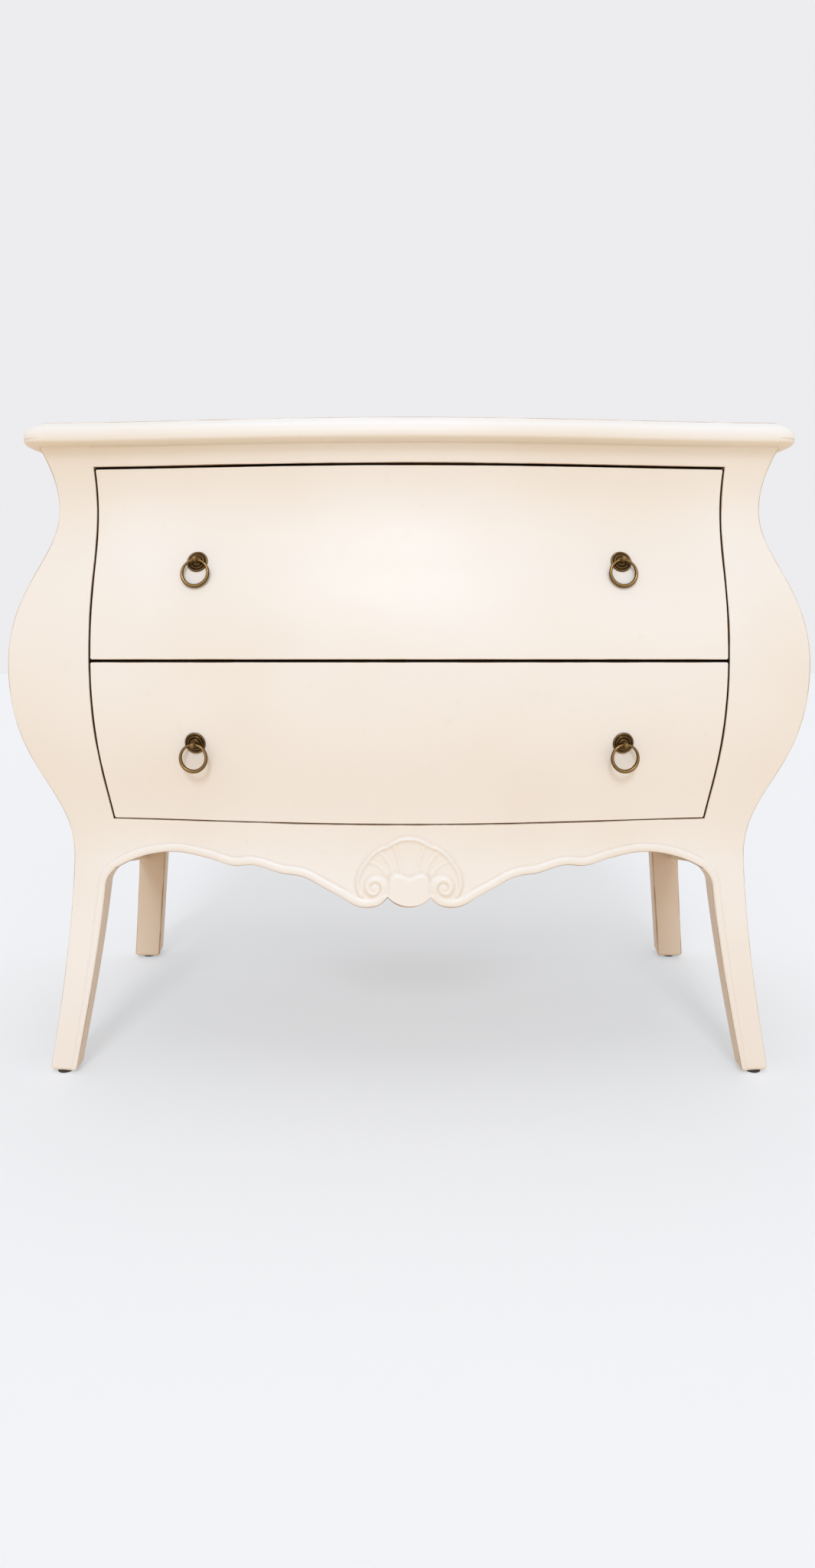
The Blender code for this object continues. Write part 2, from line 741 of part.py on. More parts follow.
def apron_section(across):
    """Section of the apron at a share of its half length, from -1 to 1."""
    edge = opening_x(APRON_END)
    low = OPENING_BOTTOM - apron_edge_drop(abs(across) * edge)
    bead_places = [BEAD_WIDTH * (1 - math.cos(turn)) / 2 for turn in steps(0, math.pi, 4)]
    plain_places = steps(BEAD_WIDTH, OPENING_BOTTOM - low, APRON_ROWS)[1:]
    section = []
    for place in bead_places + plain_places:
        z = low + place
        x = across * (opening_x(z) - FIT)
        section.append((x, front_y(x, z) - apron_relief(x, z, place), z))
    for z in (OPENING_BOTTOM, low):
        x = across * (opening_x(z) - FIT)
        section.append((x, front_y(x, z) + APRON_THICKNESS, z))
    return section


def add_front_apron():
    edge = opening_x(APRON_END)
    zone = SHELL_ZONE / edge
    wing = steps(zone, 1, WING_COLUMNS)
    places = [-share for share in reversed(wing)] + steps(-zone, zone, SHELL_COLUMNS)[1:-1] + wing
    sections = [apron_section(across) for across in places]
    add_part("front_apron", loft_mesh("front_apron", sections), PAINT)


def add_top_rail():
    sections = []
    end = OPENING_HALF - FIT
    for x in steps(-end, end, FRONT_COLUMNS):
        heights = steps(OPENING_TOP, CASE_TOP - FIT, 3)
        section = [(x, front_y(x, z), z) for z in heights]
        section += [(x, RAIL_BACK, heights[-1]), (x, RAIL_BACK, heights[0])]
        sections.append(section)
    add_part("top_rail", loft_mesh("top_rail", sections), PAINT)


def add_front_rail(name, bottom, top, clearance):
    """Rail hidden behind the fronts, its front edge bowed with them."""
    end = opening_x(bottom) - FIT
    outline = [(x, front_y(x, bottom) + clearance) for x in steps(-end, end, FRONT_COLUMNS)]
    outline += [(end, RAIL_BACK), (-end, RAIL_BACK)]
    middle = Matrix.Translation((0, 0, (bottom + top) / 2))
    add_part(name, outline_mesh(name, outline, top - bottom), BARE_WOOD, matrix=middle)


class DrawerSizes:
    """Places of one drawer's pieces, from the edges of its front and the rail that carries it."""

    def __init__(self, name, empty, low, high, rail_top, head, rows, handle_share):
        self.name = name
        self.empty = empty
        self.low = low
        self.high = high
        self.rows = rows
        self.half = opening_x(low) - BOX_MARGIN
        self.bottom = rail_top + BOX_LIFT
        self.top = head - BOX_HEADROOM
        self.panel = self.bottom + BOTTOM_LIFT
        self.back_low = self.panel + BOTTOM_THICKNESS + FIT
        self.handle_z = low + (high - low) * handle_share


UPPER = DrawerSizes(
    "upper_drawer",
    UPPER_DRAWER,
    SPLIT + SPLIT_GAP / 2,
    OPENING_TOP - TOP_GAP,
    SPLIT + DIVIDER_HEIGHT / 2,
    OPENING_TOP,
    UPPER_ROWS,
    UPPER_HANDLE_SHARE,
)
LOWER = DrawerSizes(
    "lower_drawer",
    LOWER_DRAWER,
    OPENING_BOTTOM + BOTTOM_GAP,
    SPLIT - SPLIT_GAP / 2,
    OPENING_BOTTOM + BOTTOM_RAIL_RISE,
    SPLIT - DIVIDER_HEIGHT / 2,
    LOWER_ROWS,
    LOWER_HANDLE_SHARE,
)
DRAWERS = (UPPER, LOWER)


def add_rear_rails():
    end = REAR_POST_INNER - FIT
    rails = {
        "rear_top_rail": (CASE_TOP - FIT - REAR_TOP_RAIL_HEIGHT, CASE_TOP - FIT),
        "rear_middle_rail": (SPLIT - REAR_RAIL_DROP, UPPER.back_low + STOP_HEIGHT),
        "rear_bottom_rail": (OPENING_BOTTOM - REAR_RAIL_DROP, LOWER.back_low + STOP_HEIGHT),
    }
    for name, (low, high) in rails.items():
        mesh = box_mesh(name, (-end, REAR_RAIL_FRONT, low), (end, REAR_RAIL_BACK, high))
        add_part(name, mesh, BARE_WOOD)
    low = OPENING_BOTTOM - REAR_RAIL_DROP
    panel = box_mesh("back_panel", (-end, CASE_BACK - BACK_THICKNESS, low), (end, CASE_BACK, CASE_TOP - FIT))
    add_part("back_panel", panel, PLYWOOD)


def add_runners():
    """L-shaped runners: each drawer side rides on the foot and is kept straight by the guide."""
    length = REAR_RAIL_FRONT - RAIL_BACK - 2 * FIT
    middle = (REAR_RAIL_FRONT + RAIL_BACK) / 2
    for drawer in DRAWERS:
        seat = drawer.bottom - FIT
        inner = drawer.half - BOARD_THICKNESS - RUNNER_LIP
        guide = drawer.half + GUIDE_GAP
        outer = guide + GUIDE_THICKNESS
        outline = [
            (inner, seat - RUNNER_THICKNESS),
            (outer, seat - RUNNER_THICKNESS),
            (outer, seat + GUIDE_HEIGHT),
            (guide, seat + GUIDE_HEIGHT),
            (guide, seat),
            (inner, seat),
        ]
        for name, side in SIDES:
            placed = Matrix(((1, 0, 0, 0), (0, 0, -1, middle), (0, 1, 0, 0), (0, 0, 0, 1)))
            mesh = outline_mesh("runner", [(side * x, z) for x, z in outline], length)
            add_part(f"{drawer.name}_runner_{name}", mesh, BARE_WOOD, matrix=placed)


def add_kickers():
    centre = UPPER.half - BOARD_THICKNESS / 2
    low = (centre - KICKER_WIDTH / 2, RAIL_BACK + FIT, UPPER.top + KICKER_GAP)
    high = (centre + KICKER_WIDTH / 2, REAR_RAIL_FRONT - FIT, CASE_TOP - FIT)
    for name, side in SIDES:
        ends = sorted((side * low[0], side * high[0]))
        mesh = box_mesh("kicker", (ends[0], *low[1:]), (ends[1], *high[1:]))
        add_part(f"kicker_{name}", mesh, BARE_WOOD)


def add_stops():
    for drawer in DRAWERS:
        low = (-STOP_WIDTH / 2, DRAWER_REAR + FIT, drawer.back_low)
        high = (STOP_WIDTH / 2, REAR_RAIL_FRONT - FIT, drawer.back_low + STOP_HEIGHT)
        add_part(f"{drawer.name}_stop", box_mesh("stop", low, high), BARE_WOOD)


def add_glides():
    front_middle = (LEG_FOOT_INNER + FOOT_HALF) / 2
    front_y_middle = front_y(front_middle, 0) + FOOT_DEPTH / 2
    rear_middle = (REAR_FOOT_INNER + REAR_FOOT_HALF) / 2
    profile = [
        (0, GLIDE_HEIGHT),
        (GLIDE_RADIUS, GLIDE_HEIGHT),
        (GLIDE_RADIUS, GLIDE_CHAMFER),
        (GLIDE_RADIUS - GLIDE_CHAMFER, 0),
        (0, 0),
    ]
    for name, side in SIDES:
        front = Matrix.Translation((side * front_middle, front_y_middle, 0))
        rear = Matrix.Translation((side * rear_middle, (REAR_POST_FRONT + CASE_BACK) / 2, 0))
        turned_part(f"front_glide_{name}", profile, DARK_GLIDE, CASE, front)
        turned_part(f"rear_glide_{name}", profile, DARK_GLIDE, CASE, rear)


def front_inner_y(x, z):
    """Inner surface of a drawer front."""
    return front_y(x, z) + FRONT_THICKNESS


def drawer_front_section(drawer, across):
    """Section of a drawer front at a share of its half length, from -1 to 1."""
    section = []
    heights = steps(drawer.low, drawer.high, drawer.rows)
    for z in heights:
        x = across * (opening_x(z) - SIDE_GAP)
        section.append((x, front_y(x, z), z))
    for z in reversed(heights):
        x = across * (opening_x(z) - SIDE_GAP)
        section.append((x, front_inner_y(x, z), z))
    return section


def side_board_outline(drawer, clearance=0.0):
    """(y, z) outline of a drawer side whose front edge is let into the curved front."""
    middle = drawer.half - BOARD_THICKNESS / 2
    low = drawer.bottom - clearance
    high = drawer.top + clearance
    outline = []
    for z in steps(high, low, SIDE_EDGE_STEPS):
        outline.append((front_inner_y(middle, z) - HOUSING_DEPTH + FIT - clearance, z))
    return outline + [(DRAWER_REAR, low), (DRAWER_REAR, high)]


def bottom_outline(drawer, clearance=0.0):
    """(x, y) outline of a drawer bottom whose front edge is let into the curved front."""
    end = drawer.half - BOARD_THICKNESS + GROOVE_DEPTH - FIT + clearance
    front = []
    for x in steps(-end, end, PANEL_COLUMNS):
        front.append((x, front_inner_y(x, drawer.panel) - GROOVE_DEPTH + FIT - clearance))
    return front + [(end, DRAWER_REAR), (-end, DRAWER_REAR)]


def add_drawer_front(drawer):
    name = f"{drawer.name}_front"
    sections = [drawer_front_section(drawer, across) for across in steps(-1, 1, FRONT_COLUMNS)]
    front = add_part(name, loft_mesh(name, sections, laddered=True), PAINT, drawer.empty)
    groove = outline_mesh("groove", bottom_outline(drawer, FIT), BOTTOM_THICKNESS + 2 * FIT)
    level = Matrix.Translation((0, 0, drawer.panel + BOTTOM_THICKNESS / 2))
    cut(front, add_cutter(f"{name}_groove", groove, level))
    for side_name, side in SIDES:
        centre = side * (drawer.half - BOARD_THICKNESS / 2)
        mesh = outline_mesh("housing", side_board_outline(drawer, FIT), BOARD_THICKNESS + 2 * FIT)
        placed = Matrix.Translation((centre, 0, 0)) @ YZ_PLANE
        cut(front, add_cutter(f"{name}_housing_{side_name}", mesh, placed))
        bore = cylinder_mesh(
            "shank_bore", SHANK_RADIUS + SHANK_CLEARANCE, -FRONT_THICKNESS - CUT_MARGIN, CUT_MARGIN
        )
        cut(front, add_cutter(f"{name}_bore_{side_name}", bore, handle_frame(drawer, side)))


def add_drawer_sides(drawer):
    low = drawer.panel - FIT
    high = drawer.panel + BOTTOM_THICKNESS + FIT
    for side_name, side in SIDES:
        name = f"{drawer.name}_side_{side_name}"
        mesh = outline_mesh(name, side_board_outline(drawer), BOARD_THICKNESS)
        placed = Matrix.Translation((side * (drawer.half - BOARD_THICKNESS / 2), 0, 0)) @ YZ_PLANE
        board = add_part(name, mesh, BARE_WOOD, drawer.empty, placed)
        inner = side * (drawer.half - BOARD_THICKNESS)
        ends = sorted((inner + side * GROOVE_DEPTH, inner - side * CUT_MARGIN))
        groove = box_mesh("groove", (ends[0], -DEPTH, low), (ends[1], DEPTH, high))
        cut(board, add_cutter(f"{name}_groove", groove))


def add_drawer_back_and_bottom(drawer):
    end = drawer.half - BOARD_THICKNESS - FIT
    low = (-end, DRAWER_REAR - BOARD_THICKNESS, drawer.back_low)
    high = (end, DRAWER_REAR, drawer.top - BACK_LOWERING)
    add_part(f"{drawer.name}_back", box_mesh("drawer_back", low, high), BARE_WOOD, drawer.empty)
    level = Matrix.Translation((0, 0, drawer.panel + BOTTOM_THICKNESS / 2))
    mesh = outline_mesh("drawer_bottom", bottom_outline(drawer), BOTTOM_THICKNESS)
    add_part(f"{drawer.name}_bottom", mesh, PLYWOOD, drawer.empty, level)


def handle_frame(drawer, side):
    """Frame on the drawer's face: X level, Y up the face, Z straight out of it."""
    x = side * HANDLE_HALF
    z = drawer.handle_z
    small = FIT
    slope_x = (front_y(x + small, z) - front_y(x - small, z)) / (2 * small)
    slope_z = (front_y(x, z + small) - front_y(x, z - small)) / (2 * small)
    out = Vector((slope_x, -1, slope_z)).normalized()
    level = Vector((0, 0, 1)).cross(out).normalized()
    axes = Matrix((level, out.cross(level), out)).transposed().to_4x4()
    return Matrix.Translation((x, front_y(x, z), z)) @ axes


def ball_profile(radius, centre, start, end):
    """(radius, height) points on a ball from one angle above its middle to another, top to bottom."""
    return [
        (radius * math.cos(turn), centre + radius * math.sin(turn)) for turn in steps(start, end, BALL_STEPS)
    ]


ROSETTE_TOP = HANDLE_SEAT + ROSETTE_BOSS
FLANGE_BOTTOM = ROSETTE_TOP + FIT
FLANGE_TOP = FLANGE_BOTTOM + FLANGE_HEIGHT
NECK_ANGLE = math.acos(NECK_RADIUS / KNUCKLE_RADIUS)
EYE_OUT = FLANGE_TOP + NECK_LENGTH + KNUCKLE_RADIUS * math.sin(NECK_ANGLE)
BALL_NECK_ANGLE = math.acos(NECK_RADIUS / BALL_RADIUS)
BALL_OUT = EYE_OUT + KNUCKLE_RADIUS * math.sin(NECK_ANGLE) + BALL_RADIUS * math.sin(BALL_NECK_ANGLE)


def add_rosette(name, drawer, placed):
    bore = SHANK_RADIUS + SHANK_CLEARANCE
    profile = [
        (bore, ROSETTE_TOP),
        (ROSETTE_BOSS_RADIUS - ROSETTE_RIM / 2, ROSETTE_TOP),
        (ROSETTE_BOSS_RADIUS, HANDLE_SEAT + ROSETTE_STEP),
        (ROSETTE_STEP_RADIUS - ROSETTE_RIM / 2, HANDLE_SEAT + ROSETTE_STEP),
        (ROSETTE_STEP_RADIUS, HANDLE_SEAT + ROSETTE_RIM),
        (ROSETTE_RADIUS - ROSETTE_RIM / 2, HANDLE_SEAT + ROSETTE_RIM),
        (ROSETTE_RADIUS, HANDLE_SEAT + ROSETTE_RIM / 2),
        (ROSETTE_RADIUS, HANDLE_SEAT),
        (bore, HANDLE_SEAT),
        (bore, ROSETTE_TOP),
    ]
    turned_part(f"{name}_rosette", profile, BRASS, drawer.empty, placed)


def add_eye_post(name, drawer, placed, shank_end):
    profile = ball_profile(BALL_RADIUS, BALL_OUT, math.pi / 2, -BALL_NECK_ANGLE)
    profile[0] = (0, BALL_OUT + BALL_RADIUS)
    profile += ball_profile(KNUCKLE_RADIUS, EYE_OUT, NECK_ANGLE, -NECK_ANGLE)[1:]
    profile += [
        (NECK_RADIUS, FLANGE_TOP),
        (FLANGE_RADIUS, FLANGE_TOP),
        (FLANGE_RADIUS, FLANGE_BOTTOM),
        (SHANK_RADIUS, FLANGE_BOTTOM),
        (SHANK_RADIUS, shank_end),
        (0, shank_end),
    ]
    post = turned_part(f"{name}_post", profile, BRASS, drawer.empty, placed, TURN_STEPS - 4)
    reach = KNUCKLE_RADIUS + CUT_MARGIN
    across = placed @ Matrix.Translation((0, 0, EYE_OUT)) @ Matrix.Rotation(math.pi / 2, 4, "Y")
    cut(post, add_cutter(f"{name}_eye", cylinder_mesh("eye", EYE_RADIUS, -reach, reach), across))


def add_nut(name, drawer, placed, top):
    nut = cylinder_mesh("nut", NUT_RADIUS, top - NUT_HEIGHT, top, 6)
    piece = add_part(f"{name}_nut", nut, STEEL, drawer.empty, placed)
    reach = top - NUT_HEIGHT - CUT_MARGIN
    bore = cylinder_mesh("nut_bore", SHANK_RADIUS + FIT, reach, top + CUT_MARGIN)
    cut(piece, add_cutter(f"{name}_nut_bore", bore, placed))


def ring_up(placed):
    """Direction from a ring's foot up to its eye: straight up, unless the ring leans on the drawer's face."""
    out = placed.to_3x3().col[2]
    reach = (EYE_OUT - RING_BOTTOM_WIRE - HANDLE_SEAT) / (2 * RING_RADIUS)
    lean = max(0, math.asin(out.z) - math.asin(reach))
    level_out = Vector((out.x, out.y, 0)).normalized()
    return Vector((0, 0, math.cos(lean))) - level_out * math.sin(lean)


def add_ring(name, drawer, placed):
    """Ring that hangs from the eye at rest, its origin on the axis it swings about."""
    curve = bpy.data.curves.new(f"{name}_ring", "CURVE")
    curve.dimensions = "3D"
    curve.bevel_depth = 1
    curve.bevel_resolution = 2
    spline = curve.splines.new("POLY")
    spline.points.add(RING_STEPS - 1)
    spline.use_cyclic_u = True
    for index, point in enumerate(spline.points):
        turn = 2 * math.pi * index / RING_STEPS
        drop = (1 - math.cos(turn)) / 2
        point.co = (RING_RADIUS * math.sin(turn), 0, -2 * RING_RADIUS * drop, 1)
        point.radius = RING_TOP_WIRE + (RING_BOTTOM_WIRE - RING_TOP_WIRE) * drop
    eye = placed @ Vector((0, 0, EYE_OUT))
    level = placed.to_3x3().col[0]
    up = ring_up(placed)
    axes = Matrix((level, up.cross(level), up)).transposed().to_4x4()
    add_part(f"{name}_ring", curve, BRASS, drawer.empty, Matrix.Translation(eye) @ axes)


def add_handles(drawer):
    for side_name, side in SIDES:
        name = f"{drawer.name}_handle_{side_name}"
        placed = handle_frame(drawer, side)
        nut_top = -FRONT_THICKNESS * abs(placed[1][2]) - HANDLE_SEAT
        add_rosette(name, drawer, placed)
        add_eye_post(name, drawer, placed, nut_top - NUT_HEIGHT - SHANK_END)
        add_nut(name, drawer, placed, nut_top)
        add_ring(name, drawer, placed)


def add_case():
    add_top_board()
    add_front_posts()
    add_rear_posts()
    add_side_panels()
    add_side_aprons()
    add_front_apron()
    add_top_rail()
    divider_low = SPLIT - DIVIDER_HEIGHT / 2
    add_front_rail("divider_rail", divider_low, divider_low + DIVIDER_HEIGHT, FRONT_THICKNESS + DIVIDER_GAP)
    bottom_low = OPENING_BOTTOM - BOTTOM_RAIL_DROP
    bottom_high = OPENING_BOTTOM + BOTTOM_RAIL_RISE
    add_front_rail("bottom_rail", bottom_low, bottom_high, APRON_THICKNESS + RAIL_CLEARANCE)
    add_rear_rails()
    add_runners()
    add_kickers()
    add_stops()
    add_glides()


def add_drawer(drawer):
    add_drawer_front(drawer)
    add_drawer_sides(drawer)
    add_drawer_back_and_bottom(drawer)
    add_handles(drawer)


add_case()
for sizes in DRAWERS:
    add_drawer(sizes)
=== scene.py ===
"""Looks of the bombe dresser: rubbed cream paint on swelling boards, aged brass rings, a plain studio.

Metres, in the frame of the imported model: +X to the right, +Y to the back, +Z up, drawers open to -Y.
"""
import logging
import math
from dataclasses import dataclass, field
from enum import Enum, IntEnum
from typing import Any, Sequence

import bmesh
import bpy
import numpy as np
from mathutils import Matrix, Vector


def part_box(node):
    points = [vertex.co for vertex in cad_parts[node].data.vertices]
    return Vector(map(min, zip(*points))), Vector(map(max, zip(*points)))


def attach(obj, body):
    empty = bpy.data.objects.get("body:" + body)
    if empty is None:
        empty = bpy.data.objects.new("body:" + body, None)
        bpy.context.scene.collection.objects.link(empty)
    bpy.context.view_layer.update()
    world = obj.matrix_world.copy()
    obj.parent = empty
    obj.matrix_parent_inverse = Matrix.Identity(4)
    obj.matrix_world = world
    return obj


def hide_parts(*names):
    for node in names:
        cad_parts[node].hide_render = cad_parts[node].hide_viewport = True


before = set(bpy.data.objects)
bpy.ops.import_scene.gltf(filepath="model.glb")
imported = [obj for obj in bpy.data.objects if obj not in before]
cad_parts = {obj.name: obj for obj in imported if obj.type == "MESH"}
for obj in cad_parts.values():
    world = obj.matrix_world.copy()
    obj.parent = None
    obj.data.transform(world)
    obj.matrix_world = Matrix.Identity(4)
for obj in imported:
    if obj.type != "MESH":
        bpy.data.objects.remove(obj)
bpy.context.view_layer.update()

MILLIMETRE = 0.001
WELD_REACH = 0.001 * MILLIMETRE
EASE_STEPS = 2001
# Keeps a place just inside the last cell of a grid.
GRID_END = 1.001
# Sockets of a mix node that blends colours.
MIX_INPUTS = (0, 6, 7)
MIX_OUTPUT = 2
LOG = logging.getLogger("bombe_dresser")
Colour = tuple[float, float, float, float]
Span = tuple[float, float]


class Side(Enum):
    """Left and right as seen from the front, with the sign of X on that side."""

    LEFT = -1
    RIGHT = 1

    @property
    def word(self) -> str:
        """Name of the side as the nodes spell it."""
        return self.name.lower()


class Drawer(Enum):
    """Drawers, with the names of their bodies."""

    UPPER = "upper_drawer"
    LOWER = "lower_drawer"


class Skin(IntEnum):
    """Place of a finish among the materials of a piece."""

    PAINT = 0
    WOOD = 1
    # Near-black brown stain on the faces inside the gaps, which also stands for the shade there.
    STAIN = 2


class Grain(Enum):
    """Axis that a board's grain runs along."""

    ALONG_X = 0
    ALONG_Y = 1
    ALONG_Z = 2


@dataclass(frozen=True)
class Swell:
    """Values of one swelling line at the levels that give it its shape."""

    foot: float
    knee: float
    bulge: float
    waist: float
    neck: float


def ease(share: np.ndarray, start: float, end: float) -> np.ndarray:
    """S-curve from 0 to 1, level at both ends.

    Args:
        share: how far along the curve, from 0 to 1.
        start: how long the curve stays near 0.
        end: how long the curve stays near 1.

    Returns:
        The height of the curve at each share.
    """
    step = np.linspace(0, 1, EASE_STEPS)
    early = 3 * (1 - step) ** 2 * step
    late = 3 * (1 - step) * step**2
    return np.interp(share, early * start + late * (1 - end) + step**3, late + step**3)


@dataclass(frozen=True)
class BombeForm:
    """Outer surfaces of the case, which swell at the bulge and draw in at the waist and the knee."""

    top: float
    opening_top: float
    split: float
    opening_bottom: float
    back: float
    front: float = -0.240
    waist_drop: float = 0.0737
    bulge_drop: float = 0.2857
    knee_drop: float = 0.050
    apron_drop: float = 0.069
    opening: float = 0.413
    taper: float = 0.017
    corner: Swell = Swell(0.4715, 0.4545, 0.5205, 0.4645, 0.480)
    flare: Swell = Swell(0.0285, 0.037, 0.0195, 0.0195, 0.018)
    setback: Swell = Swell(0.002, 0.037, 0.0, 0.036, 0.017)
    bulge_fullness: float = 0.50
    waist_fullness: float = 0.31
    belly_fullness: float = 0.54
    knee_fullness: float = 0.36
    splay: float = 1.6
    bow_top: float = 0.022
    bow_bottom: float = 0.046
    bow_turn: float = 2.3
    leg_knee: float = 0.407
    leg_foot: float = 0.4365
    leg_taper: float = 1.2
    bracket_width: float = 0.011
    bracket_height: float = 0.022
    post_depth: float = 0.045
    knee_depth: float = 0.031
    foot_depth: float = 0.025

    @classmethod
    def from_frame(cls) -> "BombeForm":
        """Read the form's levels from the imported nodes.

        Returns:
            The form.
        """
        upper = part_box("upper_drawer_front")[0].z
        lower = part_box("lower_drawer_front")[1].z
        return cls(
            top=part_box("top_board")[0].z,
            opening_top=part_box("top_rail")[0].z,
            split=(upper + lower) / 2,
            opening_bottom=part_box("front_apron")[1].z,
            back=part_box("back_panel")[1].y,
        )

    @property
    def knee(self) -> float:
        """Height at which the legs start to splay."""
        return self.opening_bottom - self.knee_drop

    @property
    def apron_end(self) -> float:
        """Height at which the apron's lower edge meets the legs."""
        return self.opening_bottom - self.apron_drop

    def line(self, z: np.ndarray, swell: Swell) -> np.ndarray:
        """Value of a swelling line.

        Args:
            z: heights.
            swell: the line's values at its turning points.

        Returns:
            The value at each height.
        """
        z = np.asarray(z, float)
        waist = self.top - self.waist_drop
        bulge = self.top - self.bulge_drop
        knee = self.knee
        neck_share = np.clip((z - waist) / (self.top - waist), 0, 1)
        upper = ease(np.clip((z - bulge) / (waist - bulge), 0, 1), self.bulge_fullness, self.waist_fullness)
        lower = ease(np.clip((bulge - z) / (bulge - knee), 0, 1), self.belly_fullness, self.knee_fullness)
        foot_share = np.clip((knee - z) / knee, 0, 1)
        return np.select(
            [z > waist, z > bulge, z > knee],
            [
                swell.waist + (swell.neck - swell.waist) * neck_share**2,
                swell.bulge + (swell.waist - swell.bulge) * upper,
                swell.bulge + (swell.knee - swell.bulge) * lower,
            ],
            swell.knee + (swell.foot - swell.knee) * foot_share**self.splay,
        )

    def corner_x(self, z: np.ndarray) -> np.ndarray:
        """Half width of the case at its front corners."""
        return self.line(z, self.corner)

    def rear_x(self, z: np.ndarray) -> np.ndarray:
        """Half width of the case at its back."""
        return self.corner_x(z) + self.line(z, self.flare)

    def front_y(self, x: np.ndarray, z: np.ndarray) -> np.ndarray:
        """Front surface, bowed in plan.

        Args:
            x: places across the front.
            z: heights.

        Returns:
            The depth of the front at each place.
        """
        depth = np.interp(z, (self.knee, self.top), (self.bow_bottom, self.bow_top))
        turn = 1 - np.cos(self.bow_turn * np.asarray(x) / self.opening)
        return self.front + self.line(z, self.setback) + depth * turn / (1 - math.cos(self.bow_turn))

    def side_x(self, y: np.ndarray, z: np.ndarray) -> np.ndarray:
        """Side surface, straight from the front corner to the back.

        Args:
            y: depths.
            z: heights.

        Returns:
            The half width of the case at each place.
        """
        corner = self.corner_x(z)
        start = self.front_y(corner, z)
        return corner + (self.rear_x(z) - corner) * (y - start) / (self.back - start)

    def opening_x(self, z: np.ndarray) -> np.ndarray:
        """Edge of the drawer opening and, below it, of the apron.

        Args:
            z: heights.

        Returns:
            The half width at each height.
        """
        z = np.asarray(z, float)
        lower_height = self.split - self.opening_bottom
        drawn = self.opening - self.taper * (np.clip(self.split - z, 0, lower_height) / lower_height) ** 2
        lower = self.opening - self.taper
        end = self.leg_knee - self.bracket_width
        below = lower + (end - lower) * (self.opening_bottom - z) / self.apron_drop
        return np.where(z > self.opening_bottom, drawn, below)

    def inner_x(self, z: np.ndarray) -> np.ndarray:
        """Inner edge of a front post: the opening, the apron's end, then the leg.

        Args:
            z: heights.

        Returns:
            The half width at each height.
        """
        z = np.asarray(z, float)
        below = np.clip(self.apron_end - z, 0, None)
        bracket = self.bracket_width * np.clip(1 - below / self.bracket_height, 0, 1) ** 2
        leg = self.leg_knee + (self.leg_foot - self.leg_knee) * (below / self.apron_end) ** self.leg_taper
        return np.where(z >= self.apron_end, self.opening_x(z), leg - bracket)

    def depth_of_post(self, z: np.ndarray) -> np.ndarray:
        """Depth of a front post, which thins towards the knee and tapers down the leg."""
        levels = (0, self.apron_end, self.opening_bottom)
        return np.interp(z, levels, (self.foot_depth, self.knee_depth, self.post_depth))

    def inner_back_x(self, z: np.ndarray) -> np.ndarray:
        """Inner edge of a front post at its back, where the leg's inner face turns out with the side.

        Args:
            z: heights.

        Returns:
            The half width at each height.
        """
        corner = self.corner_x(z)
        turn = (self.rear_x(z) - corner) / (self.back - self.front_y(corner, z))
        share = np.clip((self.apron_end - z) / self.bracket_height, 0, 1)
        return self.inner_x(z) + share * turn * self.depth_of_post(z)

    def facing(self, x: float, z: float) -> Matrix:
        """Frame on the front: X level, Y up the face, Z straight out of it.

        Args:
            x: place across the front.
            z: height.

        Returns:
            The frame, with its origin on the surface.
        """
        small = 0.1 * MILLIMETRE
        slope_x = float(self.front_y(x + small, z) - self.front_y(x - small, z)) / (2 * small)
        slope_z = float(self.front_y(x, z + small) - self.front_y(x, z - small)) / (2 * small)
        out = Vector((slope_x, -1, slope_z)).normalized()
        level = Vector((0, 0, 1)).cross(out).normalized()
        axes = Matrix((level, out.cross(level), out)).transposed().to_4x4()
        return Matrix.Translation((x, float(self.front_y(x, z)), z)) @ axes


def curve_through(points: Sequence[tuple[float, float]], at: np.ndarray) -> np.ndarray:
    """Smooth curve through points.

    Args:
        points: (place, value) pairs in order of place.
        at: places to read.

    Returns:
        The value at each place.
    """
    places, values = np.array(points).T
    slopes = np.gradient(values, places)
    index = np.clip(np.searchsorted(places, at) - 1, 0, len(places) - 2)
    span = places[index + 1] - places[index]
    t = (at - places[index]) / span
    start = (1 + 2 * t) * (1 - t) ** 2 * values[index] + t * (1 - t) ** 2 * span * slopes[index]
    end = t**2 * (3 - 2 * t) * values[index + 1] + t**2 * (t - 1) * span * slopes[index + 1]
    return start + end


def half_round(share: np.ndarray) -> np.ndarray:
    """Height of a half circle of radius 1 at a distance from its middle."""
    return np.sqrt(np.clip(1 - np.asarray(share) ** 2, 0, None))


def link_object(name: str, data: Any) -> bpy.types.Object:
    """New object in the scene.

    Args:
        name: the piece's name.
        data: its mesh, light or camera.

    Returns:
        The object.
    """
    made = bpy.data.objects.new(name, data)
    bpy.context.scene.collection.objects.link(made)
    return made


def settle(piece: bpy.types.Object, body: str, slot: str, *nodes: str) -> bpy.types.Object:
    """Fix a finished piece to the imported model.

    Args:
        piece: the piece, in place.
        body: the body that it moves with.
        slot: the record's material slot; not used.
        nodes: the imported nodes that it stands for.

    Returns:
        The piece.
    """
    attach(piece, body)
    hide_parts(*nodes)
    LOG.info("%s rides on %s: %d faces", piece.name, body, len(piece.data.polygons))
    return piece


def smooth_mesh(mesh: bpy.types.Mesh, sharp_degrees: float = 38) -> None:
    """Turn the faces outwards and shade them smooth up to a sharp angle.

    Args:
        mesh: the closed mesh.
        sharp_degrees: edges that turn more than this stay sharp.
    """
    shape = bmesh.new()
    shape.from_mesh(mesh)
    bmesh.ops.recalc_face_normals(shape, faces=shape.faces)
    shape.to_mesh(mesh)
    shape.free()
    mesh.shade_smooth()
    mesh.set_sharp_from_angle(angle=math.radians(sharp_degrees))


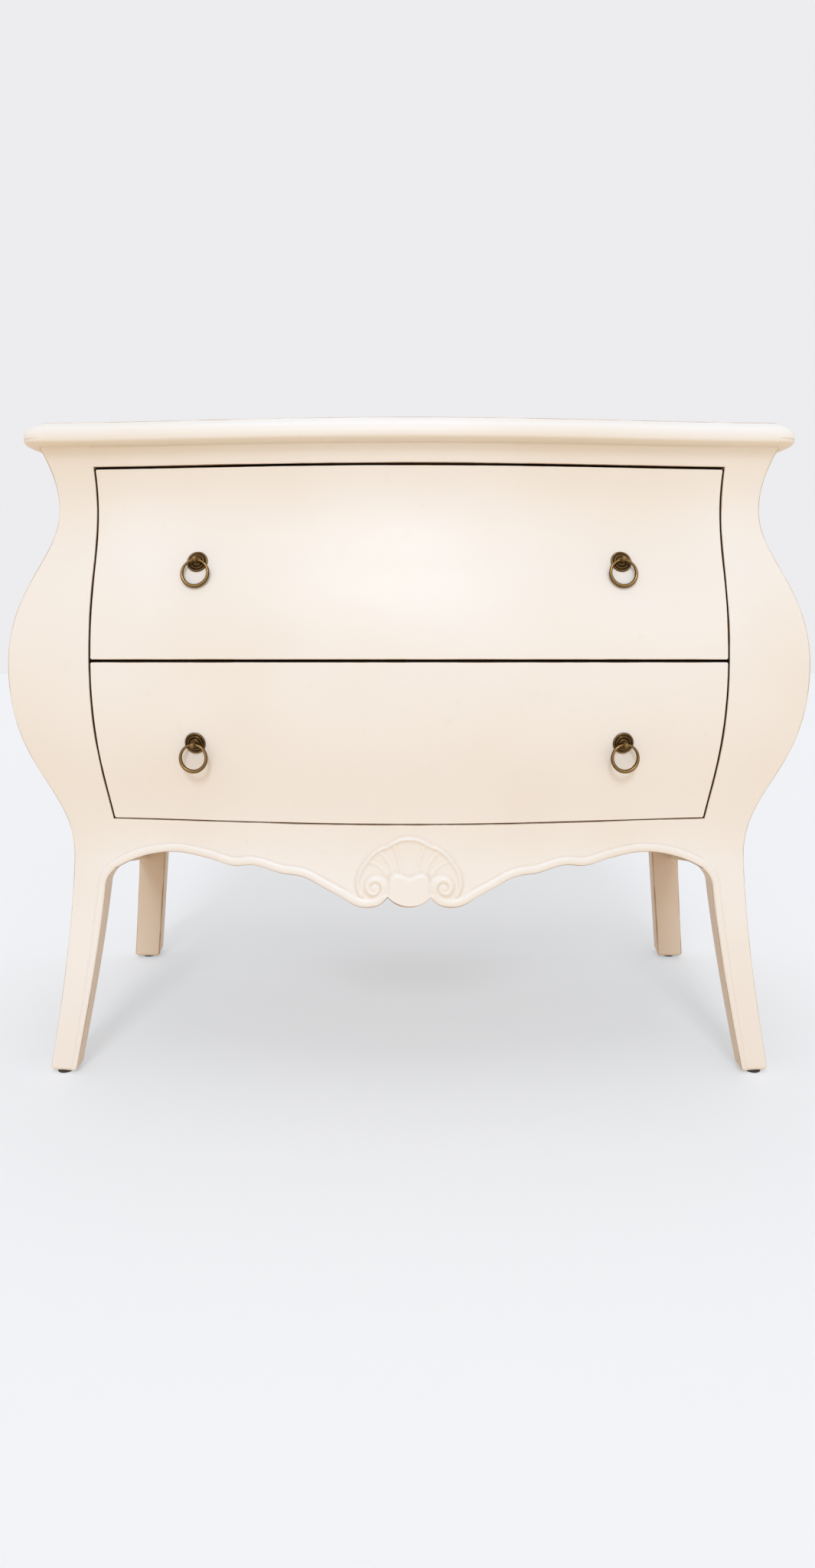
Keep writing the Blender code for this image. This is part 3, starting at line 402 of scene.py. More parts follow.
def set_shade(mesh: bpy.types.Mesh, name: str, values: np.ndarray) -> None:
    """Store one number for each point of a mesh, for a finish to read.

    Args:
        mesh: the mesh.
        name: the attribute's name.
        values: one number for each point.
    """
    layer = mesh.attributes.new(name, "FLOAT", "POINT")
    layer.data.foreach_set("value", np.ascontiguousarray(values, dtype=np.float32).ravel())


def ring_faces(index: np.ndarray) -> list[list[int]]:
    """Faces between rings of points.

    Args:
        index: the points' numbers, a row for each ring, whose last point is next to its first.

    Returns:
        The numbers of each face's four points.
    """
    after = np.roll(index, -1, axis=1)
    return np.stack([index[:-1], after[:-1], after[1:], index[1:]], axis=-1).reshape(-1, 4).tolist()


@dataclass
class Loft:
    """Closed skin over sections of equal counts, with rounded arrises where the paint is rubbed."""

    points: np.ndarray
    skins: list[int] = field(default_factory=list)
    caps: tuple[int, int] = (Skin.PAINT, Skin.PAINT)
    laddered: bool = False
    patches: list[tuple] = field(default_factory=list)
    longest_round: float = 0.92
    rub: np.ndarray = field(init=False)
    glaze: np.ndarray = field(init=False)

    def __post_init__(self) -> None:
        """Start with unrubbed paint all round."""
        levels, count, _ = self.points.shape
        self.rub = np.zeros((levels, count))
        self.glaze = np.zeros((levels, count))
        self.skins = self.skins or [Skin.PAINT] * count

    def round(self, place: int, radius: Any, steps: int = 6, rub: Any = 1.0, skin: int | None = None) -> None:
        """Replace one point of every section by a rounded corner.

        Args:
            place: the point's place in the section. Corners are rounded from the last to the first.
            radius: how far along each side the rounding reaches, for all sections or for each.
            steps: the number of faces round the corner.
            rub: how rubbed the middle of the corner is, for all sections or for each.
            skin: the corner's finish, if it is not that of the face before it.
        """
        count = self.points.shape[1]
        here = self.points[:, place]
        reach = np.reshape(radius, (-1, 1))
        sides = []
        for other in ((place - 1) % count, (place + 1) % count):
            run = self.points[:, other] - here
            length = np.linalg.norm(run, axis=1, keepdims=True)
            sides.append(run / length * np.minimum(reach, self.longest_round * length))
        turn = np.linspace(0, 1, steps + 1)
        arc = [here + sides[0] * (1 - t) ** 2 + sides[1] * t**2 for t in turn]
        worn = np.broadcast_to(np.reshape(rub, (-1, 1)) * np.sin(math.pi * turn) ** 2, (len(here), steps + 1))
        calm = np.repeat(self.glaze[:, place : place + 1], steps + 1, axis=1)
        self.points = np.concatenate(
            [self.points[:, :place], np.stack(arc, axis=1), self.points[:, place + 1 :]], axis=1
        )
        self.rub = np.concatenate([self.rub[:, :place], worn, self.rub[:, place + 1 :]], axis=1)
        self.glaze = np.concatenate([self.glaze[:, :place], calm, self.glaze[:, place + 1 :]], axis=1)
        turned = self.skins[place - 1] if skin is None else skin
        self.skins = self.skins[:place] + [turned] * steps + self.skins[place:]

    def mirrored(self, side: Side) -> "Loft":
        """The same skin on the given side, this one being on the right.

        Args:
            side: the side.

        Returns:
            The skin there.
        """
        flip = np.array((side.value, 1, 1))
        twin = Loft(self.points * flip, list(self.skins), self.caps, self.laddered, self.patches)
        twin.rub = self.rub
        twin.glaze = self.glaze
        return twin

    def make(self, name: str, *finishes: bpy.types.Material) -> bpy.types.Object:
        """Draw the skin.

        Args:
            name: the piece's name.
            finishes: its materials, in the order of Skin.

        Returns:
            The piece.
        """
        levels, count, _ = self.points.shape
        index = np.arange(levels * count).reshape(levels, count)
        faces = ring_faces(index)
        table = np.tile(self.skins, (levels - 1, 1))
        for low, high, first, last, skin in self.patches:
            middle = (self.points[:-1, 0, 2] + self.points[1:, 0, 2]) / 2
            table[(middle > low) & (middle < high), first:last] = skin
        skins = table.ravel().tolist()
        for loop, skin in ((index[0].tolist(), self.caps[0]), (index[-1].tolist(), self.caps[1])):
            if not self.laddered:
                faces.append(loop)
                skins.append(skin)
                continue
            for near in range(count // 2 - 1):
                faces.append([loop[near], loop[near + 1], loop[-2 - near], loop[-1 - near]])
                skins.append(skin)
        mesh = bpy.data.meshes.new(name)
        mesh.from_pydata(self.points.reshape(-1, 3).tolist(), [], faces)
        for finish in finishes:
            mesh.materials.append(finish)
        mesh.polygons.foreach_set("material_index", [min(skin, len(finishes) - 1) for skin in skins])
        set_shade(mesh, "rub", self.rub)
        set_shade(mesh, "glaze", self.glaze)
        smooth_mesh(mesh)
        made = link_object(name, mesh)
        flatten = made.modifiers.new("flat_faces", "WEIGHTED_NORMAL")
        flatten.keep_sharp = True
        return made


@dataclass(frozen=True)
class Turned:
    """Piece turned about its own Z axis from (radius, height, rub) points, top to bottom."""

    profile: Sequence[tuple[float, float, float]]
    segments: int = 64

    def make(self, name: str, placed: Matrix, finish: bpy.types.Material) -> bpy.types.Object:
        """Draw the piece.

        Args:
            name: the piece's name.
            placed: where its own axis stands.
            finish: its material.

        Returns:
            The piece, with its place in its mesh.
        """
        radius, height, rub = np.array(self.profile).T
        turn = np.linspace(0, 2 * math.pi, self.segments, endpoint=False)
        ring = np.stack([np.cos(turn), np.sin(turn)], axis=-1)
        rings = radius[:, None, None] * ring[None]
        points = np.concatenate([rings, np.repeat(height[:, None], self.segments, 1)[..., None]], axis=-1)
        index = np.arange(points.shape[0] * self.segments).reshape(-1, self.segments)
        mesh = bpy.data.meshes.new(name)
        mesh.from_pydata(points.reshape(-1, 3).tolist(), [], ring_faces(index))
        set_shade(mesh, "rub", np.repeat(rub, self.segments))
        shape = bmesh.new()
        shape.from_mesh(mesh)
        bmesh.ops.remove_doubles(shape, verts=shape.verts, dist=WELD_REACH)
        bmesh.ops.holes_fill(shape, edges=[edge for edge in shape.edges if edge.is_boundary])
        shape.to_mesh(mesh)
        shape.free()
        mesh.transform(placed)
        mesh.materials.append(finish)
        smooth_mesh(mesh)
        return link_object(name, mesh)


class NodeSketch:
    """Node tree with short ways to add and join nodes."""

    def __init__(self, tree: bpy.types.NodeTree) -> None:
        """Draw on a tree."""
        self.tree = tree

    def node(self, kind: str, settings: dict[str, Any] | None = None, **inputs: Any) -> bpy.types.Node:
        """Add a node.

        Args:
            kind: the node's type, without its common prefix.
            settings: the node's own options.
            inputs: values or sockets by input name, with _ for a space.

        Returns:
            The node.
        """
        made = self.tree.nodes.new("ShaderNode" + kind)
        for option, value in (settings or {}).items():
            setattr(made, option, value)
        for name, value in inputs.items():
            self.feed(made.inputs[name.replace("_", " ")], value)
        return made

    def feed(self, socket: bpy.types.NodeSocket, value: Any) -> None:
        """Set an input, or join another node's output to it.

        Args:
            socket: the input.
            value: a value or an output.
        """
        if isinstance(value, bpy.types.NodeSocket):
            self.tree.links.new(value, socket)
            return
        socket.default_value = value

    def math(self, operation: str, first: Any, second: Any = 0.0) -> bpy.types.NodeSocket:
        """Sum of two values, or another operation on them.

        Args:
            operation: the operation's name.
            first: a value or socket.
            second: a value or socket.

        Returns:
            The result.
        """
        made = self.node("Math", {"operation": operation})
        self.feed(made.inputs[0], first)
        self.feed(made.inputs[1], second)
        return made.outputs[0]

    def eye_rays(self) -> bpy.types.NodeSocket:
        """Tell what the camera sees, straight or in a reflection, from light that is passed on.

        Returns:
            1 for what is seen, and 0 for the rest.
        """
        path = self.node("LightPath").outputs
        rays = self.math("MAXIMUM", path["Is Glossy Ray"], path["Is Transmission Ray"])
        return self.math("MAXIMUM", path["Is Camera Ray"], rays)


class Sketch(NodeSketch):
    """Node tree of one material."""

    def __init__(self, name: str) -> None:
        """Start a material whose tree holds only its shader and output.

        Args:
            name: the material's name.
        """
        self.material = bpy.data.materials.new(name)
        self.material.use_nodes = True
        super().__init__(self.material.node_tree)
        self.shader = self.tree.nodes["Principled BSDF"]

    def place(self, stretch: tuple[float, float, float] = (1, 1, 1)) -> bpy.types.NodeSocket:
        """Places on the object, stretched along its axes."""
        coordinates = self.node("TexCoord").outputs["Object"]
        return self.node("Mapping", Vector=coordinates, Scale=stretch).outputs["Vector"]

    def noise(self, vector: bpy.types.NodeSocket, scale: float, detail: float = 3.0) -> bpy.types.NodeSocket:
        """Cloudy values from 0 to 1.

        Args:
            vector: places on the object.
            scale: how many clouds there are to a metre.
            detail: how fine their edges are.

        Returns:
            The values.
        """
        return self.node("TexNoise", Vector=vector, Scale=scale, Detail=detail).outputs["Fac"]

    def ramp(self, value: bpy.types.NodeSocket, low: float, high: float) -> bpy.types.NodeSocket:
        """Smooth step from 0 below low to 1 above high.

        Args:
            value: the values to read.
            low: where the step starts.
            high: where it ends.

        Returns:
            The step.
        """
        made = self.node("MapRange", {"interpolation_type": "SMOOTHSTEP"}, Value=value)
        made.inputs["From Min"].default_value = low
        made.inputs["From Max"].default_value = high
        return made.outputs["Result"]

    def blend(self, share: Any, first: Any, second: Any) -> bpy.types.NodeSocket:
        """Mix of two colours.

        Args:
            share: how much of the second one.
            first: a colour or socket.
            second: a colour or socket.

        Returns:
            The mixed colour.
        """
        made = self.node("Mix", {"data_type": "RGBA"})
        for socket, value in zip(MIX_INPUTS, (share, first, second)):
            self.feed(made.inputs[socket], value)
        return made.outputs[MIX_OUTPUT]

    def between(self, share: bpy.types.NodeSocket, low: float, high: float) -> bpy.types.NodeSocket:
        """Number that runs from low to high with a share.

        Args:
            share: the share, from 0 to 1.
            low: the number at 0.
            high: the number at 1.

        Returns:
            The number.
        """
        made = self.node("Math", {"operation": "MULTIPLY_ADD"})
        for socket, value in zip(made.inputs, (share, high - low, low)):
            self.feed(socket, value)
        return made.outputs[0]

    def shade(self, name: str) -> bpy.types.NodeSocket:
        """Number that a mesh stores for each of its points."""
        return self.node("Attribute", {"attribute_name": name}).outputs["Fac"]

    def bump(self, height: bpy.types.NodeSocket, depth: float, strength: float) -> bpy.types.NodeSocket:
        """Normal of a fine relief.

        Args:
            height: the relief, from 0 to 1.
            depth: its real depth.
            strength: how much of it shows.

        Returns:
            The normal.
        """
        made = self.node("Bump", Height=height, Distance=depth, Strength=strength)
        return made.outputs["Normal"]

    def finish(self, **inputs: Any) -> bpy.types.Material:
        """Join the last values to the shader.

        Args:
            inputs: values or sockets by the shader's input name, with _ for a space.

        Returns:
            The material.
        """
        for name, value in inputs.items():
            self.feed(self.shader.inputs[name.replace("_", " ")], value)
        return self.material

    def seen(self, colour: tuple, share: float) -> bpy.types.Material:
        """Let a plain glow take the place of part of the lit surface, for the camera and reflections.

        Args:
            colour: the glow's colour.
            share: how much of what is seen is the glow.

        Returns:
            The material.
        """
        mix = self.node("MixShader", Fac=self.math("MULTIPLY", self.eye_rays(), share))
        self.feed(mix.inputs[1], self.shader.outputs["BSDF"])
        self.feed(mix.inputs[2], self.node("Emission", Color=colour).outputs["Emission"])
        self.feed(self.tree.nodes["Material Output"].inputs["Surface"], mix.outputs["Shader"])
        return self.material


@dataclass(frozen=True)
class CreamPaint:
    """Satin cream paint: warm glaze and painted shade in the hollows and low on the legs, rubbed through to
    brown on the arrises.
    """

    name: str = "cream_paint"
    pale: Colour = (0.860, 0.835, 0.800, 1)
    warm: Colour = (0.836, 0.794, 0.734, 1)
    glaze: Colour = (0.700, 0.540, 0.390, 1)
    thin: Colour = (0.500, 0.335, 0.200, 1)
    bare: Colour = (0.190, 0.100, 0.045, 1)
    clouds: float = 3.2
    cloud_at: Span = (0.35, 0.65)
    flecks: float = 46
    fleck_at: Span = (0.62, 0.86)
    glaze_share: float = 0.45
    patches: float = 17
    fleck_in_patch: float = 0.40
    patch_at: Span = (0.50, 0.92)
    wear: Span = (0.42, 1.0)
    thin_at: Span = (0.12, 0.58)
    bare_at: Span = (0.52, 0.86)
    brush_marks: float = 190
    brush_stretch: tuple[float, float, float] = (1, 1, 0.22)
    brush_depth: float = 0.25 * MILLIMETRE
    brush_strength: float = 0.05
    roughness: Span = (0.36, 0.48)
    gloss: float = 0.42

    def make(self) -> bpy.types.Material:
        """Build the material.

        Returns:
            The material.
        """
        sketch = Sketch(self.name)
        place = sketch.place()
        cloud = sketch.ramp(sketch.noise(place, self.clouds, detail=2), *self.cloud_at)
        fleck = sketch.noise(place, self.flecks, detail=4)
        paint = sketch.blend(cloud, self.pale, self.warm)
        paint = sketch.blend(sketch.ramp(fleck, *self.fleck_at), paint, self.warm)
        # Glaze and painted shade: the paint turns warmer and darker in the hollows and low on the legs.
        glazed = sketch.math("MULTIPLY", sketch.shade("glaze"), self.glaze_share)
        paint = sketch.blend(glazed, paint, self.glaze)
        fine = sketch.math("MULTIPLY", fleck, self.fleck_in_patch)
        patch = sketch.math("ADD", sketch.noise(place, self.patches), fine)
        wear = sketch.between(sketch.ramp(patch, *self.patch_at), *self.wear)
        worn = sketch.math("MULTIPLY", sketch.shade("rub"), wear)
        colour = sketch.blend(sketch.ramp(worn, *self.thin_at), paint, self.thin)
        colour = sketch.blend(sketch.ramp(worn, *self.bare_at), colour, self.bare)
        brushed = sketch.noise(sketch.place(self.brush_stretch), self.brush_marks, detail=2)
        return sketch.finish(
            Base_Color=colour,
            Roughness=sketch.between(fleck, *self.roughness),
            Specular_IOR_Level=self.gloss,
            Normal=sketch.bump(brushed, self.brush_depth, strength=self.brush_strength),
        )


@dataclass(frozen=True)
class AgedBrass:
    """Dark aged brass that is brighter where hands rub it and, on the rings, where a highlight is painted on.
    """

    name: str = "aged_brass"
    dark: Colour = (0.040, 0.020, 0.007, 1)
    mellow: Colour = (0.098, 0.053, 0.018, 1)
    bright: Colour = (0.370, 0.215, 0.075, 1)
    clouds: float = 170
    cloud_at: Span = (0.36, 0.66)
    specks: float = 520
    speck_rub: Span = (0.55, 1.25)
    speck_depth: float = 0.10 * MILLIMETRE
    speck_strength: float = 0.05
    roughness: Span = (0.24, 0.36)

    def make(self) -> bpy.types.Material:
        """Build the material.

        Returns:
            The material.
        """
        sketch = Sketch(self.name)
        place = sketch.place()
        cloud = sketch.noise(place, self.clouds)
        tarnish = sketch.noise(place, self.specks, detail=2)
        metal = sketch.blend(sketch.ramp(cloud, *self.cloud_at), self.dark, self.mellow)
        rub = sketch.math("MULTIPLY", sketch.shade("rub"), sketch.between(tarnish, *self.speck_rub))
        return sketch.finish(
            Base_Color=sketch.blend(rub, metal, self.bright),
            Metallic=1.0,
            Roughness=sketch.between(cloud, *self.roughness),
            Normal=sketch.bump(tarnish, self.speck_depth, strength=self.speck_strength),
        )


@dataclass(frozen=True)
class BareWood:
    """Unpainted wood with its grain along one axis."""

    name: str
    grain: Grain
    light: Colour = (0.560, 0.385, 0.225, 1)
    dark: Colour = (0.400, 0.245, 0.125, 1)
    stripes: float = 95.0
    stripe_detail: int = 5
    stretch: float = 0.06
    bends: float = 9
    growth_rings: float = 7.0
    ring_at: Span = (0.05, 0.45)
    ring_share: float = 0.45
    stripe_share: float = 0.55
    tone_at: Span = (0.25, 0.75)
    pores: float = 900
    pore_at: Span = (0.60, 0.80)
    pore_share: float = 0.35
    stripe_depth: float = 0.2 * MILLIMETRE
    stripe_strength: float = 0.15
    roughness: Span = (0.55, 0.75)
    gloss: float = 0.3

    def make(self) -> bpy.types.Material:
        """Build the material.

        Returns:
            The material.
        """
        sketch = Sketch(self.name)
        stretch = [1.0, 1.0, 1.0]
        stretch[self.grain.value] = self.stretch
        place = sketch.place(tuple(stretch))
        bend = sketch.noise(place, self.bends, detail=2)
        streak = sketch.noise(place, self.stripes, detail=self.stripe_detail)
        pore = sketch.ramp(sketch.noise(place, self.pores, detail=2), *self.pore_at)
        growth = sketch.math("FRACT", sketch.math("MULTIPLY", bend, self.growth_rings))
        ring = sketch.ramp(sketch.math("PINGPONG", growth, 0.5), *self.ring_at)
        ring = sketch.math("MULTIPLY", ring, self.ring_share)
        tone = sketch.math("ADD", ring, sketch.math("MULTIPLY", streak, self.stripe_share))
        wood = sketch.blend(sketch.ramp(tone, *self.tone_at), self.dark, self.light)
        wood = sketch.blend(sketch.math("MULTIPLY", pore, self.pore_share), wood, self.dark)
        return sketch.finish(
            Base_Color=wood,
            Roughness=sketch.between(streak, *self.roughness),
            Specular_IOR_Level=self.gloss,
            Normal=sketch.bump(streak, self.stripe_depth, strength=self.stripe_strength),
        )


@dataclass(frozen=True)
class PlainSteel:
    """Zinc-plated steel of the nuts."""

    pale: Colour = (0.50, 0.49, 0.47, 1)
    dull: Colour = (0.33, 0.32, 0.31, 1)
    clouds: float = 500
    roughness: Span = (0.28, 0.48)

    def make(self) -> bpy.types.Material:
        """Build the material.

        Returns:
            The material.
        """
        sketch = Sketch("plain_steel")
        cloud = sketch.noise(sketch.place(), self.clouds)
        return sketch.finish(
            Base_Color=sketch.blend(cloud, self.dull, self.pale),
            Metallic=1.0,
            Roughness=sketch.between(cloud, *self.roughness),
        )


@dataclass(frozen=True)
class DarkGlide:
    """Dark pressed fibre under the feet."""

    dark: Colour = (0.022, 0.014, 0.010, 1)
    dusty: Colour = (0.065, 0.045, 0.035, 1)
    fibres: float = 1500
    dust_at: Span = (0.35, 0.75)
    fibre_depth: float = 0.2 * MILLIMETRE
    fibre_strength: float = 0.3
    roughness: Span = (0.65, 0.9)

    def make(self) -> bpy.types.Material:
        """Build the material.

        Returns:
            The material.
        """
        sketch = Sketch("dark_glide")
        fibre = sketch.noise(sketch.place(), self.fibres, detail=4)
        return sketch.finish(
            Base_Color=sketch.blend(sketch.ramp(fibre, *self.dust_at), self.dark, self.dusty),
            Roughness=sketch.between(fibre, *self.roughness),
            Normal=sketch.bump(fibre, self.fibre_depth, strength=self.fibre_strength),
        )


@dataclass(frozen=True)
class Finishes:
    """Materials of all the pieces."""

    paint: bpy.types.Material
    dull_paint: bpy.types.Material
    brass: bpy.types.Material
    rosette_brass: bpy.types.Material
    steel: bpy.types.Material
    glide: bpy.types.Material
    stain: bpy.types.Material
    wood: dict[Grain, bpy.types.Material]
    plywood: dict[Grain, bpy.types.Material]

    @classmethod
    def mixed(cls) -> "Finishes":
        """Make every material once.

        Returns:
            The materials.
        """
        # A darker, browner copy of the cream paint: painted shade on the rear posts.
        dull_paint = CreamPaint("dull_paint", pale=(0.800, 0.730, 0.650, 1), warm=(0.770, 0.690, 0.600, 1))
        rosette_brass = AgedBrass(
            "rosette_brass",
            dark=(0.030, 0.015, 0.005, 1),
            mellow=(0.070, 0.038, 0.013, 1),
            bright=(0.240, 0.138, 0.049, 1),
        )
        # Stain dark enough to be painted shade in the gaps as well as the wood's own brown.
        stain = BareWood(
            "brown_stain",
            Grain.ALONG_X,
            light=(0.072, 0.040, 0.020, 1),
            dark=(0.030, 0.016, 0.008, 1),
            stripes=140.0,
        )
        plies = {
            grain: BareWood(
                f"plywood_{grain.name.lower()}",
                grain,
                light=(0.640, 0.475, 0.300, 1),
                dark=(0.530, 0.370, 0.215, 1),
                stripes=60.0,
            )
            for grain in (Grain.ALONG_X, Grain.ALONG_Z)
        }
        return cls(
            paint=CreamPaint().make(),
            dull_paint=dull_paint.make(),
            brass=AgedBrass().make(),
            rosette_brass=rosette_brass.make(),
            steel=PlainSteel().make(),
            glide=DarkGlide().make(),
            stain=stain.make(),
            wood={grain: BareWood(f"bare_wood_{grain.name.lower()}", grain).make() for grain in Grain},
            plywood={grain: ply.make() for grain, ply in plies.items()},
        )

    def board(self, grain: Grain) -> tuple[bpy.types.Material, ...]:
        """Finishes of a painted board in the order of Skin."""
        return self.paint, self.wood[grain], self.stain


@dataclass(frozen=True)
class TopBoard:
    """Top with a bowed front and a moulded edge."""

    form: BombeForm
    thickness: float = 0.0343
    overhang: float = 0.0165
    side_reach: float = 1.52
    ear: float = 0.075
    drawn_in: float = 0.016
    corner: float = 0.032
    moulding: tuple = (
        (16.9, 34.3),
        (16.8, 33.4),
        (16.4, 32.8),
        (15.4, 32.5),
        (12.0, 32.3),
        (7.4, 32.1),
        (4.4, 31.6),
        (2.4, 30.6),
        (1.1, 29.2),
        (0.4, 27.4),
        (0.1, 25.2),
        (0.0, 22.8),
        (0.3, 20.2),
        (1.3, 17.3),
        (3.0, 14.4),
        (5.6, 11.5),
        (8.9, 8.7),
        (12.7, 6.1),
        (16.6, 4.0),
        (20.2, 2.4),
        (20.9, 1.7),
        (21.1, 1.0),
    )
    arris: tuple = ((21.3, 0.4, 0.85), (21.8, 0.0, 0.55), (23.4, 0.0, 0.0))
    rear: float = 0.240
    columns: int = 120
    flank_steps: int = 40
    corner_steps: int = 12
    edge_steps: int = 64
    least_corner: float = 0.003
    nose: float = 0.0228
    worn: float = 0.6
    worn_from: float = 0.455
    worn_reach: float = 0.030
    worn_rise: float = 0.0085
    worn_width: float = 1.0 * MILLIMETRE

    def profile(self) -> list[tuple[float, float, float]]:
        """Points round the moulded edge.

        Returns:
            (inset, rise, rub) from the underside to the top.
        """
        order = np.arange(len(self.moulding))
        at = np.linspace(0, order[-1], self.edge_steps)
        inset, drop = (
            curve_through(list(zip(order, values)), at) * MILLIMETRE for values in np.array(self.moulding).T
        )
        points = [(float(i), self.thickness - float(d), 0.0) for i, d in zip(inset, drop)]
        return points + [(i * MILLIMETRE, self.thickness - d * MILLIMETRE, rub) for i, d, rub in self.arris]

    def outline(self, inset: float, z: float) -> np.ndarray:
        """Outline of the top, set in from the nose of its edge.

        Args:
            inset: how far in.
            z: height.

        Returns:
            Points of the outline.
        """
        out = self.overhang - inset
        above_nose = z > self.form.top + self.thickness - self.nose
        sideways = self.overhang * self.side_reach - inset * (1.0 if above_nose else self.side_reach)
        corner = max(self.corner - inset, self.least_corner)
        form = self.form

        def front(x: np.ndarray) -> np.ndarray:
            """Points along the bowed front."""
            return np.stack([x, form.front_y(x, form.top) - out, np.full_like(x, z)], axis=-1)

        def flank(y: np.ndarray) -> np.ndarray:
            """Draw the right side, which draws in behind the front corner.

            Args:
                y: depths.

            Returns:
                A point at each depth.
            """
            behind = np.clip((y - tip[1]) / self.ear, 0, 1)
            x = form.side_x(y, form.top) + sideways - drawn * behind**2 * (3 - 2 * behind)
            return np.stack([x, y, np.full_like(y, z)], axis=-1)

        tip = front(np.array([float(form.corner_x(form.top)) + sideways]))[0]
        drawn = self.drawn_in * (1.0 if above_nose else 1 - inset / (self.moulding[0][0] * MILLIMETRE))
        before = flank(np.array([tip[1] + corner]))[0]
        after = front(np.array([tip[0] - corner]))[0]
        t = np.linspace(0, 1, self.corner_steps)[:, None]
        turn = before * (1 - t) ** 2 + tip * 2 * t * (1 - t) + after * t**2
        side = flank(np.linspace(self.rear, before[1], self.flank_steps)[:-1])
        right = np.concatenate([side, turn])
        middle = front(np.linspace(after[0], -after[0], self.columns)[1:-1])
        left = right[::-1] * np.array((-1, 1, 1))
        return np.concatenate([right, middle, left])

    def build(self, finishes: Finishes) -> None:
        """Draw the top and fix it to the case.

        Args:
            finishes: the materials.
        """
        profile = self.profile()
        points = np.stack([self.outline(inset, self.form.top + rise) for inset, rise, _ in profile])
        loft = Loft(points)
        loft.rub += np.array([rub for _, _, rub in profile])[:, None]
        near_corner = np.clip((np.abs(points[..., 0]) - self.worn_from) / self.worn_reach, 0, 1)
        below_nose = (self.form.top + self.worn_rise - points[..., 2]) / self.worn_width
        loft.rub += self.worn * near_corner * np.exp(-(below_nose**2))
        piece = loft.make("top_board_painted", finishes.paint)
        settle(piece, "case", "cream_paint", "top_board")


def blurred(height: np.ndarray, kernel: np.ndarray) -> np.ndarray:
    """Grid of heights, each a weighted mean of its neighbours.

    Args:
        height: the heights.
        kernel: the weights along a row or a column.

    Returns:
        The blurred heights.
    """
    reach = len(kernel) // 2
    for axis in (0, 1):
        padded = np.pad(height, [(reach, reach) if a == axis else (0, 0) for a in (0, 1)], mode="edge")
        steps = np.arange(height.shape[axis])
        height = sum(weight * np.take(padded, steps + place, axis) for place, weight in enumerate(kernel))
    return height / kernel.sum() ** 2


def softened(height: np.ndarray, spread: float) -> np.ndarray:
    """Grid of heights blurred as if worn by hand.

    Args:
        height: the heights.
        spread: width of the blur, in steps of the grid.

    Returns:
        The blurred heights.
    """
    reach = int(3 * spread) + 1
    return blurred(height, np.exp(-0.5 * (np.arange(-reach, reach + 1) / spread) ** 2))


def hollows(height: np.ndarray, reach: int = 4, depth: float = 0.9 * MILLIMETRE) -> np.ndarray:
    """How sunk each point of a relief lies among its neighbours.

    Args:
        height: the relief on a grid.
        reach: how many neighbours on each side count.
        depth: the depth that counts as fully sunk.

    Returns:
        Values from 0 to 1.
    """
    mean = blurred(height, np.ones(2 * reach + 1))
    return np.clip((mean - height) / depth, 0, 1)


@dataclass(frozen=True)
class Ridge:
    """Soft ridge along a line on the right half of the front, in millimetres."""

    line: tuple[tuple[float, float], ...]
    half_width: float
    height: float


